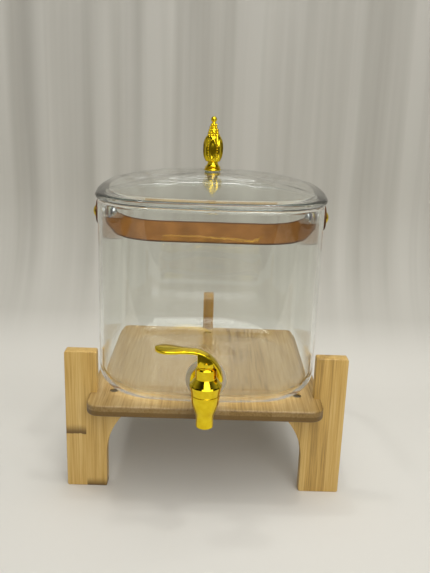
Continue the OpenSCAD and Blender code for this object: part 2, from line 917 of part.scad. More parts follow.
module finial_screw() {
    shank_len = finial_base + finial_thread_depth - cut - finial_head_top;
    color(steel) on_jar_axis() translate([0, 0, finial_head_top]) difference() {
        union() {
            translate([0, 0, -finial_head_h]) cylinder(d = finial_head_d, h = finial_head_h);
            cylinder(d = finial_screw_d, h = shank_len);
        }
        translate([0, 0, -finial_head_h - cut])
            cylinder(d = finial_socket_d, h = finial_head_h / 2 + cut, $fn = 6);
    }
}

// Tap
module tap_outline() {
    top_r = tap_top_d / 2;
    bell_r = tap_bell_d / 2;
    spout_r = spout_d / 2;
    lip = 1;
    polygon([[0, tap_band_z], [bell_r, tap_band_z], [top_r, tap_top_z - lip],
             [top_r - lip, tap_top_z], [0, tap_top_z]]);
    intersection() {
        translate([bell_r - bell_convex_r, tap_band_z]) circle(bell_convex_r);
        translate([0, bell_meet_z]) square([bell_r, tap_band_z - bell_meet_z]);
    }
    difference() {
        translate([0, tap_bell_z]) square([bell_r - bell_convex_r * (1 - cos(bell_turn)),
                                           bell_meet_z - tap_bell_z]);
        translate([spout_r + bell_concave_r, tap_bell_z]) circle(bell_concave_r);
    }
    translate([0, outlet_z + lip]) square([spout_r, spout_len - lip]);
    translate([0, outlet_z]) square([spout_r - lip, lip]);
    translate([spout_r - lip, outlet_z + lip]) circle(lip);
}

module tap_body() {
    groove = 0.6;
    flange_start = jar_half + gasket_t;
    color(gilt) difference() {
        union() {
            on_tap_axis() rotate_extrude() tap_outline();
            on_jar_front() {
                along_x(shank_end, shank_d, tap_front - shank_end);
                along_x(flange_start, shank_flange_d, shank_flange_t);
            }
        }
        on_tap_axis() {
            translate([0, 0, valve_seat_z])
                cylinder(d = chamber_d, h = tap_top_z - valve_seat_z + cut);
            translate([0, 0, outlet_z - cut])
                cylinder(d = spout_bore_d, h = valve_seat_z - outlet_z + 2 * cut);
            translate([0, 0, tap_band_z]) rotate_extrude()
                translate([tap_bell_d / 2, 0]) circle(groove);
        }
        on_jar_front() along_x(shank_end - cut, shank_bore_d, tap_front - shank_end + cut);
    }
}

module tap_outer_gasket() {
    color(silicone) on_jar_front() outer_gasket(gasket_d, shank_d + 2 * run_gap, gasket_t);
}

module tap_inner_gasket() {
    color(silicone) on_jar_front() inner_gasket(inner_gasket_d, shank_d + 2 * run_gap, gasket_t);
}

module tap_lock_nut() {
    nut_end = lock_nut_start - lock_nut_t;
    color(gilt) on_jar_front() difference() {
        union() {
            along_x(lock_nut_start - lock_collar_t, lock_nut_af + 2 * lock_collar_rim, lock_collar_t);
            translate([nut_end, 0, 0])
                rotate([0, 90, 0]) cylinder(d = lock_nut_af / cos(30), h = lock_nut_t, $fn = 6);
        }
        along_x(nut_end - cut, shank_d + 2 * run_gap, lock_nut_t + 2 * cut);
    }
}

module tap_bonnet() {
    drum_r = drum_d / 2;
    color(gilt) on_tap_axis() difference() {
        union() {
            translate([0, 0, bonnet_under_z])
                cylinder(d = chamber_d - 2 * run_gap, h = bonnet_spigot_h);
            translate([0, 0, tap_top_z]) cylinder(d1 = bonnet_base_d, d2 = drum_d, h = bonnet_cone_h);
            translate([0, 0, tap_top_z]) cylinder(r = drum_r, h = bonnet_h - bonnet_edge);
            translate([0, 0, bonnet_top_z - bonnet_edge])
                cylinder(r1 = drum_r, r2 = drum_r - bonnet_edge, h = bonnet_edge);
        }
        translate([0, 0, bonnet_under_z - cut])
            cylinder(d = stem_d + 2 * run_gap, h = bonnet_spigot_h + bonnet_h + 2 * cut);
        translate([0, 0, bonnet_top_z - o_ring_wire_d - 2 * run_gap])
            cylinder(d = o_ring_bed_d, h = o_ring_wire_d + 2 * run_gap + cut);
    }
}

module stem_o_ring() {
    color(silicone) on_tap_axis()
        translate([0, 0, bonnet_top_z - o_ring_wire_d / 2 - run_gap])
        rotate_extrude() translate([o_ring_mean_r, 0]) circle(d = o_ring_wire_d);
}

// Valve
module cam_washer() {
    color(steel) on_tap_axis()
        ring_plate(bonnet_top_z, cam_washer_d, stem_d + 2 * run_gap, cam_washer_t);
}

module valve_stem() {
    stem_low = valve_seat_z + plug_web;
    color(steel) on_tap_axis() difference() {
        union() {
            translate([0, 0, stem_low]) cylinder(d = stem_d, h = cam_washer_z - stem_low);
            translate([0, 0, plug_top_z]) cylinder(d = stem_collar_d, h = stem_collar_t);
            intersection() {
                translate([0, 0, cam_washer_z]) cylinder(d = stem_d, h = pin_h);
                translate([-stem_d / 2, -tongue_t / 2, cam_washer_z]) cube([stem_d, tongue_t, pin_h]);
            }
            translate([0, 0, pin_z]) along_y(2 * tongue_r, tongue_t);
        }
        translate([0, 0, pin_z]) along_y(pin_d + 2 * run_gap, tongue_t + 2 * cut);
    }
}

module valve_plug() {
    color(silicone) on_tap_axis() translate([0, 0, valve_seat_z]) difference() {
        union() {
            cylinder(d = plug_d, h = plug_h - plug_edge);
            translate([0, 0, plug_h - plug_edge])
                cylinder(d1 = plug_d, d2 = plug_d - 2 * plug_edge, h = plug_edge);
        }
        translate([0, 0, plug_web]) cylinder(d = stem_d + 2 * run_gap, h = plug_h);
    }
}

// Spring: one unbroken tube along a helix
spring_rings_per_turn = 12;
spring_sides = 6;
spring_rings = spring_turns * spring_rings_per_turn;
spring_start_z = spring_low_z + spring_wire_d / 2 + run_gap;
spring_rise = bonnet_under_z - spring_low_z - spring_wire_d - 2 * run_gap;

function spring_point(i) =
    let (angle = 360 * i / spring_rings_per_turn)
    [
        spring_mean_d / 2 * cos(angle),
        spring_mean_d / 2 * sin(angle),
        spring_start_z + spring_rise * i / spring_rings
    ];

spring_path = [for (i = [0:spring_rings]) spring_point(i)];
spring_gap = min([
    for (i = [0:spring_rings - spring_rings_per_turn])
        norm(spring_path[i + spring_rings_per_turn] - spring_path[i]) - spring_wire_d
]);
echo(spring_gap = spring_gap);

module valve_spring() {
    sides = spring_sides;
    points = [
        for (i = [0:spring_rings])
            let (p = spring_path[i], angle = 360 * i / spring_rings_per_turn)
            for (s = [0:sides - 1])
                let (
                    round_wire = 360 * s / sides,
                    out = spring_wire_d / 2 * cos(round_wire),
                    up = spring_wire_d / 2 * sin(round_wire)
                )
                [p.x + out * cos(angle), p.y + out * sin(angle), p.z + up]
    ];
    last = sides * spring_rings;
    walls = [
        for (r = [0:spring_rings - 1])
            for (s = [0:sides - 1])
                let (a = r * sides + s, b = r * sides + (s + 1) % sides)
                each [[a, a + sides, b], [b, a + sides, b + sides]]
    ];
    cap_low = [for (s = [1:sides - 2]) [0, s, s + 1]];
    cap_high = [for (s = [1:sides - 2]) [last, last + s + 1, last + s]];
    color(steel) on_tap_axis() polyhedron(points, concat(walls, cap_low, cap_high));
}

// Lever: an arched side outline crossed with a leaf-shaped plan, on a fork with a cam heel
module lever_side_outline() {
    tip_x = -lever_len;
    run = (arch_x - tip_x) / cos(arm_rise) + arch_r * tan(arm_rise);
    translate([arch_x, arch_z]) {
        difference() {
            intersection() {
                circle(arch_r);
                translate([0, skirt_z - arch_z]) square(arch_r);
            }
            circle(arch_inner_r);
        }
        rotate(-arm_rise) translate([-run, arch_inner_r]) square([run, lever_t]);
    }
}

module lever_plan_outline() {
    neck_x = arch_x - neck_set_back;
    fork_x = arch_x / 2;
    half_neck = neck_w / 2;
    half_fork = fork_w / 2;
    polygon([
        [paddle_x, paddle_r], [neck_x, half_neck], [fork_x, half_fork], [tap_top_d, half_fork],
        [tap_top_d, -half_fork], [fork_x, -half_fork], [neck_x, -half_neck], [paddle_x, -paddle_r]
    ]);
    translate([paddle_x, 0]) circle(paddle_r);
}

module lever_cheek_outline() {
    cheek_front = cam_offset + heel_r;
    cheek_back = cam_offset + cheek_margin;
    intersection() {
        union() {
            translate([-cam_offset, pin_z]) circle(heel_r);
            translate([-cam_offset, pin_z - heel_r]) square([cam_offset + cheek_back, heel_r]);
            translate([-cheek_front, pin_z]) square([cheek_front + cheek_back, arch_r]);
        }
        translate([arch_x, arch_z]) circle(arch_r - lever_t / 2);
    }
}

module tap_lever() {
    span = arch_r + lever_len;
    color(gilt) on_tap_axis() difference() {
        union() {
            intersection() {
                translate([0, span / 2, 0])
                    rotate([90, 0, 0])
                    linear_extrude(span) lever_side_outline();
                translate([0, 0, tap_top_z]) linear_extrude(span) lever_plan_outline();
            }
            translate([0, fork_w / 2, 0])
                rotate([90, 0, 0])
                linear_extrude(fork_w) lever_cheek_outline();
        }
        translate([0, 0, pin_z]) along_y(pin_d + 2 * run_gap, span);
        intersection() {
            translate([0, 0, pin_z]) along_y(2 * (tongue_r + seat_gap), slot_w);
            translate([-span, -slot_w / 2, 0]) cube([2 * span, slot_w, 2 * tap_top_z]);
        }
        translate([-span, -slot_w / 2, cam_washer_z]) cube([span + cam_washer_d, slot_w, pin_h]);
    }
}

module lever_pin() {
    length = fork_w + 2 * seat_gap;
    color(steel) on_tap_axis() translate([0, 0, pin_z]) {
        along_y(pin_d, length + 2 * pin_head_t);
        for (end = [-1, 1]) {
            translate([0, end * (length + pin_head_t) / 2, 0]) along_y(pin_head_d, pin_head_t);
        }
    }
}

base_plate();
front_left_leg();
front_right_leg();
rear_leg();
stand_screws();
glass_jar();
tap_body();
tap_outer_gasket();
tap_inner_gasket();
tap_lock_nut();
tap_bonnet();
stem_o_ring();
strap_studs();
stud_spacers();
stud_gaskets();
stud_cap_nuts();
glass_lid();
finial();
finial_gaskets();
finial_washer();
finial_screw();
strap_handle();
strap_eyelets();
cam_washer();
valve_stem();
valve_plug();
valve_spring();
lever_pin();
tap_lever();
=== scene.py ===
"""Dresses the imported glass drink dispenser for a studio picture.

The frame gives every rigid piece its place. This script remodels the pieces that need finer shapes,
which are the leg boards, jar, lid, finial, strap, lever and valve spring, gives every surface its
finish, and sets the studio and the camera.
"""

import logging
import math
from dataclasses import dataclass
from enum import Enum
from functools import cached_property

import bmesh
import bpy
from mathutils import Matrix, Vector


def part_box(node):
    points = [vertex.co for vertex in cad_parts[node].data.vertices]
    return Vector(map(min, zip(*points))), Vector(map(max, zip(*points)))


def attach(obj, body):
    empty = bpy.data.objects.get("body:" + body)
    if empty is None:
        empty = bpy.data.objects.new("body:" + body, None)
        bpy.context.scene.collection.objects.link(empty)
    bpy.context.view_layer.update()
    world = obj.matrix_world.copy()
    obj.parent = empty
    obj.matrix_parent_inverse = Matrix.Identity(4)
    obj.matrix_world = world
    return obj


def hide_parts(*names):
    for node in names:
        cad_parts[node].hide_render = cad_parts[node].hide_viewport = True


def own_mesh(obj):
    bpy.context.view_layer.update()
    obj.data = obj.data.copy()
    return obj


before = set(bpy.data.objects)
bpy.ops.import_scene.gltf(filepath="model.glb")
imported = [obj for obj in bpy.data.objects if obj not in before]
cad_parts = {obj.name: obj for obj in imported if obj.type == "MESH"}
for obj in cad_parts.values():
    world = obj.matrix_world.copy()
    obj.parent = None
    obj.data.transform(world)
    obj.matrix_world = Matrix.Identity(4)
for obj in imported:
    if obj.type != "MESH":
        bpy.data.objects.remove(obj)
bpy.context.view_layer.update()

LOG = logging.getLogger("dispenser")
MM = 0.001
TAU = 2 * math.pi
QUARTER = math.pi / 2
PHOTO_W = 430
PHOTO_H = 573

Piece = bpy.types.Object
Material = bpy.types.Material
Tree = bpy.types.NodeTree
Socket = bpy.types.NodeSocket
Ring = list[Vector]
Outline = list[tuple[float, float]]
Colour = tuple[float, float, float, float]


class Axis(Enum):
    """A direction of the part's frame, named by its place in a vector."""

    X = 0
    Y = 1
    Z = 2


# Bench tools


def linear(code: str) -> Colour:
    """Turns an sRGB hex colour into linear light.

    Args:
        code: The colour as #RRGGBB.

    Returns:
        Red, green, blue and a full alpha.
    """
    parts = [int(code[i : i + 2], 16) / 255 for i in (1, 3, 5)]
    light = [c / 12.92 if c <= 0.04045 else ((c + 0.055) / 1.055) ** 2.4 for c in parts]
    return (light[0], light[1], light[2], 1.0)


def add_node(
    tree: Tree, kind: str, inputs: dict | None = None, out: int | str = 0, **settings
) -> Socket | None:
    """Adds a shader node with its settings, values and links.

    Args:
        tree: The material's node tree.
        kind: The node's type name, without the ShaderNode that it starts with.
        inputs: Values or sockets by input name or number; a socket is linked.
        out: The name or number of the output that is wanted.
        settings: Node properties; stops lists a colour ramp's places and colours.

    Returns:
        The wanted output, or None for a node that has no outputs.
    """
    node = tree.nodes.new("ShaderNode" + kind)
    stops = settings.pop("stops", None)
    for name, value in settings.items():
        setattr(node, name, value)
    if stops:
        ramp = node.color_ramp.elements
        while len(ramp) < len(stops):
            ramp.new(1.0)
        for element, (place, code) in zip(ramp, stops):
            element.position = place
            element.color = linear(code)
    for key, value in (inputs or {}).items():
        if isinstance(value, Socket):
            tree.links.new(value, node.inputs[key])
        else:
            node.inputs[key].default_value = value
    return node.outputs[out] if node.outputs else None


def pick(*pieces: Piece) -> None:
    """Leaves edit mode and selects only some pieces, so that an operator acts on nothing else.

    Args:
        pieces: What to select, the active one first; none just drops the selection.
    """
    if bpy.context.object and bpy.context.object.mode != "OBJECT":
        bpy.ops.object.mode_set(mode="OBJECT")
    bpy.ops.object.select_all(action="DESELECT")
    for piece in pieces:
        piece.select_set(True)
    if pieces:
        bpy.context.view_layer.objects.active = pieces[0]


def apply_modifier(piece: Piece, kind: str, **settings) -> None:
    """Adds a modifier to a piece and applies it.

    Args:
        piece: The piece to change.
        kind: The modifier's type name.
        settings: The modifier's properties.
    """
    modifier = piece.modifiers.new(kind.title(), kind)
    for name, value in settings.items():
        setattr(modifier, name, value)
    pick(piece)
    bpy.ops.object.modifier_apply(modifier=modifier.name)


def ease_edges(piece: Piece, width: float) -> None:
    """Rounds the sharp edges of a piece by a width."""
    sharp = math.radians(40)
    apply_modifier(piece, "BEVEL", width=width, segments=3, limit_method="ANGLE", angle_limit=sharp)


def smooth(piece: Piece, degrees: float = 35.0) -> None:
    """Shades a piece smooth, except over edges that bend more than some degrees."""
    pick(piece)
    bpy.ops.object.shade_smooth_by_angle(angle=math.radians(degrees))


def drill(piece: Piece, middle: Vector, axis: Axis, diameter: float, depth: float) -> None:
    """Drills a round hole through a piece.

    Args:
        piece: The piece to drill.
        middle: The middle of the hole.
        axis: The direction of the hole.
        diameter: The hole's diameter.
        depth: The length of the drill.
    """
    turn = {Axis.X: (0, QUARTER, 0), Axis.Y: (QUARTER, 0, 0), Axis.Z: (0, 0, 0)}[axis]
    pick()
    bpy.ops.mesh.primitive_cylinder_add(
        vertices=64, radius=diameter / 2, depth=depth, location=middle, rotation=turn
    )
    bit = bpy.context.object
    apply_modifier(piece, "BOOLEAN", operation="DIFFERENCE", solver="EXACT", object=bit)
    bpy.data.objects.remove(bit)


def middle_of(node: str) -> Vector:
    """Finds the middle of a node of the frame."""
    low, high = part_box(node)
    return (low + high) / 2


def settle(piece: Piece, material: Material, body: str, slot: str, *replaced: str) -> None:
    """Gives a finished piece its material, its body and the nodes that it stands for.

    Args:
        piece: The finished piece.
        material: Its finish.
        body: The body that carries it.
        slot: The record's material slot; not used.
        replaced: The nodes that it stands for.
    """
    piece.data.materials.clear()
    piece.data.materials.append(material)
    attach(piece, body)
    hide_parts(*replaced)
    LOG.info("%s: %d faces on %s", piece.name, len(piece.data.polygons), body)


def dress(material: Material, *nodes: str) -> None:
    """Gives nodes of the frame that keep their own mesh a finish.

    Args:
        material: The finish.
        nodes: The nodes' names.
    """
    for node in nodes:
        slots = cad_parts[node].data.materials
        slots.clear()
        slots.append(material)
        LOG.info("%s: %s", node, material.name)


class Loft:
    """A skin that is pulled from ring to ring with the extrude tool."""

    def __init__(self, name: str, rings: list[Ring]) -> None:
        """Moves a circle's points onto the first ring and pulls the skin over the others.

        Args:
            name: The piece's name.
            rings: The rings' points, all in the same order.
        """
        pick()
        bpy.ops.mesh.primitive_circle_add(vertices=len(rings[0]), radius=MM, fill_type="NOTHING")
        self.piece = bpy.context.object
        self.piece.name = self.piece.data.name = name
        bpy.ops.object.mode_set(mode="EDIT")
        bpy.ops.mesh.select_all(action="SELECT")
        mesh = self.mesh()
        for vert, place in zip(mesh.verts, rings[0]):
            vert.co = place
        self.rows = [list(range(len(rings[0])))]
        for ring in rings[1:]:
            self.pull(ring)

    def mesh(self) -> bmesh.types.BMesh:
        """Opens the skin's mesh with its points numbered.

        Returns:
            The mesh in edit mode.
        """
        mesh = bmesh.from_edit_mesh(self.piece.data)
        mesh.verts.index_update()
        mesh.verts.ensure_lookup_table()
        return mesh

    def pull(self, ring: Ring) -> None:
        """Extrudes the last ring and moves the new points onto the next one.

        Args:
            ring: The next ring's points.
        """
        bpy.ops.mesh.extrude_region()
        mesh = self.mesh()
        grown = {}
        for vert in mesh.verts:
            if vert.select:
                for edge in vert.link_edges:
                    root = edge.other_vert(vert)
                    if not root.select:
                        grown[root.index] = vert
        row = [grown[index] for index in self.rows[-1]]
        for vert, place in zip(row, ring):
            vert.co = place
        self.rows.append([vert.index for vert in row])

    def mark(self, name: str, values: list[list[float]]) -> None:
        """Writes a number on points for a finish to read.

        Args:
            name: The attribute's name.
            values: The numbers, ring by ring; the points of further rings keep zero.
        """
        mesh = self.mesh()
        layer = mesh.verts.layers.float.new(name)
        mesh.verts.ensure_lookup_table()
        for row, numbers in zip(self.rows, values):
            for index, number in zip(row, numbers):
                mesh.verts[index][layer] = number
        bmesh.update_edit_mesh(self.piece.data)

    def finish(self, closed: bool = True) -> Piece:
        """Merges what meets, turns the faces outwards and leaves edit mode.

        Args:
            closed: Whether the first and the last ring get a face.

        Returns:
            The finished piece.
        """
        for row in (self.rows[0], self.rows[-1]) if closed else ():
            bpy.ops.mesh.select_all(action="DESELECT")
            mesh = self.mesh()
            for index in row:
                mesh.verts[index].select = True
            mesh.select_flush(True)
            bpy.ops.mesh.edge_face_add()
        bpy.ops.mesh.select_all(action="SELECT")
        bpy.ops.mesh.remove_doubles(threshold=0.001 * MM)
        bpy.ops.mesh.normals_make_consistent(inside=False)
        bpy.ops.object.mode_set(mode="OBJECT")
        return self.piece


def arc(middle: tuple | Vector, radius: float, start: float, end: float, steps: int) -> Outline:
    """Lists the points of an arc in a plane.

    Args:
        middle: The arc's centre.
        radius: The arc's radius.
        start: The angle of the first point, in degrees.
        end: The angle of the last point, in degrees.
        steps: The number of chords.

    Returns:
        The points, both ends included.
    """
    turns = [math.radians(start + (end - start) * i / steps) for i in range(steps + 1)]
    return [(middle[0] + radius * math.cos(t), middle[1] + radius * math.sin(t)) for t in turns]


@dataclass(frozen=True)
class BulgedSquare:
    """A square plan with slightly bulged sides and tangent round corners."""

    half: float
    corner_r: float
    sweep: float = math.radians(8)
    side_steps: int = 14
    corner_steps: int = 20

    def facings(self) -> list[float]:
        """Lists the directions that the outline faces, all the way round.

        Returns:
            The directions, in radians.
        """
        turn = QUARTER - 2 * self.sweep
        found = []
        for quarter in range(4):
            start = quarter * QUARTER
            found += [start + self.sweep * (2 * i / self.side_steps - 1) for i in range(self.side_steps)]
            found += [start + self.sweep + turn * i / self.corner_steps for i in range(self.corner_steps)]
        return found

    def point(self, facing: float, inset: float = 0.0) -> Vector:
        """Finds the outline's point that faces a direction.

        Args:
            facing: The direction, in radians.
            inset: How far the point lies inside the outline.

        Returns:
            The point in plan.
        """
        chord = math.cos(self.sweep) - math.sin(self.sweep)
        side_r = (self.half - self.corner_r * chord) / (1 - chord)
        slack = 1e-9
        quarter = math.floor((facing + self.sweep) / QUARTER + slack)
        local = facing - quarter * QUARTER
        if local <= self.sweep - slack:
            middle, radius = Vector((self.half - side_r, 0)), side_r
        else:
            reach = (side_r - self.corner_r) * math.sin(self.sweep)
            middle, radius = Vector((reach, reach)), self.corner_r
        spot = middle + (radius - inset) * Vector((math.cos(local), math.sin(local)))
        return Matrix.Rotation(quarter * QUARTER, 2) @ spot

    def ring(self, axis: Vector, z: float, inset: float = 0.0, share: float = 1.0) -> Ring:
        """Draws the outline at a height.

        Args:
            axis: The place of the axis in plan.
            z: The height.
            inset: How far the ring lies inside the outline.
            share: The scale of the ring about the axis.

        Returns:
            The ring's points.
        """
        spots = [share * self.point(facing, inset) for facing in self.facings()]
        return [Vector((axis.x + p.x, axis.y + p.y, z)) for p in spots]

    def circle(self, axis: Vector, z: float, radius: float) -> Ring:
        """Draws a circle with one point beside each point of the outline."""
        spots = [radius * self.point(facing).normalized() for facing in self.facings()]
        return [Vector((axis.x + p.x, axis.y + p.y, z)) for p in spots]


# Finishes


@dataclass(frozen=True)
class Finish:
    """A surface, made as a node material on the piece's own coordinates."""

    name: str

    def make(self) -> Material:
        """Builds the node material.

        Returns:
            The material.
        """
        material = bpy.data.materials.new(self.name)
        material.use_nodes = True
        tree = material.node_tree
        tree.nodes.clear()
        place = add_node(tree, "TexCoord", out="Object")
        add_node(tree, "OutputMaterial", {"Surface": self.surface(tree, place)})
        return material

    def surface(self, tree: Tree, place: Socket) -> Socket:
        """Wires the nodes of one kind of finish.

        Args:
            tree: The material's node tree.
            place: The shaded point's place.

        Returns:
            The shader for the material's output.
        """
        raise NotImplementedError(self.name)


@dataclass(frozen=True)
class Bamboo(Finish):
    """Laminated bamboo strips, planed and lacquered.

    The eye sees strips of slightly different tan, fine fibres along the grain, brown bands where the
    culm had its knuckles, two plies on a sawn edge, and a satin gloss.
    """

    across: Axis
    along: Axis
    pale: str = "#DABA76"
    tan: str = "#C09A50"
    brown: str = "#5A3E0E"
    strip_w: float = 21 * MM
    seed: float = 0.857
    knuckles: tuple = ()  # strip number and height of each
    knuckle_h: float = 12 * MM
    knuckle_wander: float = 3 * MM
    line_h: float = 0.5 * MM
    fibre_w: float = 1.3 * MM  # real fibres are about 0.3 mm; drawn coarser so that they show
    fibre_len: float = 60 * MM
    fibre_h: float = 0.15 * MM
    contrast: float = 0.8
    strip_contrast: float = 0.3
    streak_contrast: float = 0.5
    ply_z: float | None = None
    glue_h: float = 0.3 * MM

    def surface(self, tree: Tree, place: Socket) -> Socket:
        """Wires strips, fibres, brown marks and lacquer.

        Args:
            tree: The material's node tree.
            place: The shaded point's place.

        Returns:
            The shader for the material's output.
        """
        parts = add_node(tree, "SeparateXYZ", {0: place}).node.outputs
        lane = {0: parts[self.across.value], 1: 1 / self.strip_w, 2: self.seed}
        lane = add_node(tree, "Math", lane, operation="MULTIPLY_ADD")
        strip = add_node(tree, "Math", {0: lane}, operation="FLOOR")
        chance = add_node(tree, "TexWhiteNoise", {"W": strip}, noise_dimensions="1D")
        through = next(a for a in Axis if a not in (self.across, self.along))
        ways = (
            (self.across, self.fibre_w, strip),
            (self.along, self.fibre_len, chance),
            (through, self.fibre_w, 0.0),
        )
        grain = {}
        for i, (axis, pitch, shift) in enumerate(ways):
            step = {0: parts[axis.value], 1: 1 / pitch, 2: shift}
            grain[i] = add_node(tree, "Math", step, operation="MULTIPLY_ADD")
        grain = add_node(tree, "CombineXYZ", grain)
        fibre = {"Vector": grain, "Scale": 1.0, "Detail": 4.0, "Roughness": 0.6}
        fibre = add_node(tree, "TexNoise", fibre)
        streak = add_node(tree, "TexNoise", {"Vector": grain, "Scale": 0.17, "Detail": 2.0})
        tone = 0.13 - self.contrast / 2
        for noise, share in (
            (chance, self.strip_contrast),
            (fibre, self.contrast),
            (streak, self.streak_contrast),
        ):
            tone = add_node(tree, "Math", {0: noise, 1: share, 2: tone}, operation="MULTIPLY_ADD")
        stops = [(0.25, self.pale), (0.62, self.tan), (1.0, self.brown)]
        colour = add_node(tree, "ValToRGB", {0: tone}, stops=stops)
        for mark in self.marks(tree, parts, strip, streak):
            shades = {0: mark, 6: colour, 7: linear(self.brown)}
            colour = add_node(tree, "Mix", shades, 2, data_type="RGBA")
        lacquer = {
            "Base Color": colour,
            "Roughness": add_node(tree, "MapRange", {0: fibre, 3: 0.36, 4: 0.52}),
            "Normal": add_node(tree, "Bump", {"Strength": 0.25, "Distance": self.fibre_h, "Height": fibre}),
            "Coat Weight": 0.12,
            "Coat Roughness": 0.3,
        }
        return add_node(tree, "BsdfPrincipled", lacquer)

    def marks(
        self, tree: Tree, parts: bpy.types.NodeOutputs, strip: Socket, streak: Socket
    ) -> list[Socket]:
        """Draws the brown marks: a knuckle band on chosen strips, and the plies of a sawn edge.

        Args:
            tree: The material's node tree.
            parts: The coordinates of the shaded point.
            strip: The number of the strip.
            streak: A slow noise along the grain.

        Returns:
            The strength of each mark.
        """
        found = []
        for number, start in self.knuckles:
            same = add_node(tree, "Math", {0: strip, 1: number, 2: 0.5}, operation="COMPARE")
            above = add_node(tree, "Math", {0: parts[self.along.value], 1: start}, operation="SUBTRACT")
            above = {0: streak, 1: self.knuckle_wander, 2: above}
            above = add_node(tree, "Math", above, operation="MULTIPLY_ADD")
            fade = {0: above, 2: self.knuckle_h, 3: 0.95, 4: 0.0}
            fade = add_node(tree, "MapRange", fade, interpolation_type="SMOOTHSTEP")
            edge = add_node(tree, "MapRange", {0: above, 1: -self.line_h, 2: self.line_h})
            band = add_node(tree, "Math", {0: fade, 1: edge}, operation="MULTIPLY")
            found.append(add_node(tree, "Math", {0: band, 1: same}, operation="MULTIPLY"))
        if self.ply_z is not None:
            normal = add_node(tree, "NewGeometry", out="Normal")
            facing = add_node(tree, "SeparateXYZ", {0: normal}, 2)
            sawn = add_node(tree, "MapRange", {0: facing, 1: 0.5, 2: 0.9, 3: 1.0, 4: 0.0})
            seam = {1: self.ply_z - self.glue_h, 2: self.ply_z + self.glue_h}
            ply = add_node(tree, "MapRange", {0: parts[2], 3: 0.9, 4: 0.5} | seam)
            found.append(add_node(tree, "Math", {0: sawn, 1: ply}, operation="MULTIPLY"))
        return found


@dataclass(frozen=True)
class BlownGlass(Finish):
    """Clear soda-lime glass, blown and fire polished.

    The eye sees the background through it, bright and dark lines where the wall turns, and a faint waviness
    of the reflections; along a thick rim, dark reflection lines are painted in a grey-green. Lamps shine
    through it without a dark shadow, and light that has been trapped inside it for some turns leaves it
    straight on.
    """

    tint: str = "#FAFBF8"
    # deep is the grey-green of painted dark reflection lines, laid where the piece marks its edge
    deep: str | None = None
    wave: float = 38 * MM
    wave_h: float = 0.05 * MM
    turns: float = 4.5

    def surface(self, tree: Tree, place: Socket) -> Socket:
        """Wires the glass and the straight way out of it.

        Args:
            tree: The material's node tree.
            place: The shaded point's place.

        Returns:
            The shader for the material's output.
        """
        wave = add_node(tree, "TexNoise", {"Vector": place, "Scale": 1 / self.wave, "Detail": 1.0})
        relief = add_node(tree, "Bump", {"Strength": 1.0, "Distance": self.wave_h, "Height": wave})
        colour = linear(self.tint)
        # Painted reflection: on the marked bands the glass takes the deep grey-green as dark lines.
        if self.deep:
            painted_rim_lines = add_node(tree, "Attribute", out="Fac", attribute_name="edge")
            shades = {0: painted_rim_lines, 6: colour, 7: linear(self.deep)}
            colour = add_node(tree, "Mix", shades, 2, data_type="RGBA")
        melt = {
            "Base Color": colour,
            "Roughness": 0.0,
            "IOR": 1.5,
            "Transmission Weight": 1.0,
            "Normal": relief,
        }
        glass = add_node(tree, "BsdfPrincipled", melt)
        clear = add_node(tree, "BsdfTransparent")
        path = add_node(tree, "LightPath").node.outputs
        trapped = add_node(tree, "Math", {0: path["Ray Depth"], 1: self.turns}, operation="GREATER_THAN")
        straight = add_node(tree, "Math", {0: path["Is Shadow Ray"], 1: trapped}, operation="MAXIMUM")
        return add_node(tree, "MixShader", {0: straight, 1: glass, 2: clear})


@dataclass(frozen=True)
class Metal(Finish):
    """A plated or turned metal.

    The eye sees clear reflections in the metal's colour, softened a little in patches by handling.
    """

    bright: str
    deep: str
    rough_low: float
    rough_high: float
    patch: float = 6 * MM

    def surface(self, tree: Tree, place: Socket) -> Socket:
        """Wires the metal and its handled patches.

        Args:
            tree: The material's node tree.
            place: The shaded point's place.

        Returns:
            The shader for the material's output.
        """
        patch = add_node(tree, "TexNoise", {"Vector": place, "Scale": 1 / self.patch, "Detail": 3.0})
        colour = add_node(tree, "ValToRGB", {0: patch}, stops=[(0.3, self.bright), (0.75, self.deep)])
        rough = add_node(tree, "MapRange", {0: patch, 3: self.rough_low, 4: self.rough_high})
        return add_node(tree, "BsdfPrincipled", {"Base Color": colour, "Metallic": 1.0, "Roughness": rough})


@dataclass(frozen=True)
class Silicone(Finish):
    """Moulded translucent silicone rubber.

    The eye sees a milky white that glows a little at thin edges, with a soft sheen.
    """

    name: str = "translucent_silicone"
    milk: str = "#EFEDE4"
    cloud: str = "#DAD6C8"
    cloud_w: float = 8 * MM
    glow: float = 3 * MM

    def surface(self, tree: Tree, place: Socket) -> Socket:
        """Wires the cloudy rubber.

        Args:
            tree: The material's node tree.
            place: The shaded point's place.

        Returns:
            The shader for the material's output.
        """
        cloud = add_node(tree, "TexNoise", {"Vector": place, "Scale": 1 / self.cloud_w, "Detail": 2.0})
        colour = add_node(tree, "ValToRGB", {0: cloud}, stops=[(0.3, self.milk), (0.7, self.cloud)])
        rubber = {
            "Base Color": colour,
            "Roughness": add_node(tree, "MapRange", {0: cloud, 3: 0.3, 4: 0.45}),
            "IOR": 1.41,
            "Transmission Weight": 0.7,
            "Subsurface Weight": 0.3,
            "Subsurface Scale": self.glow,
        }
        return add_node(tree, "BsdfPrincipled", rubber)


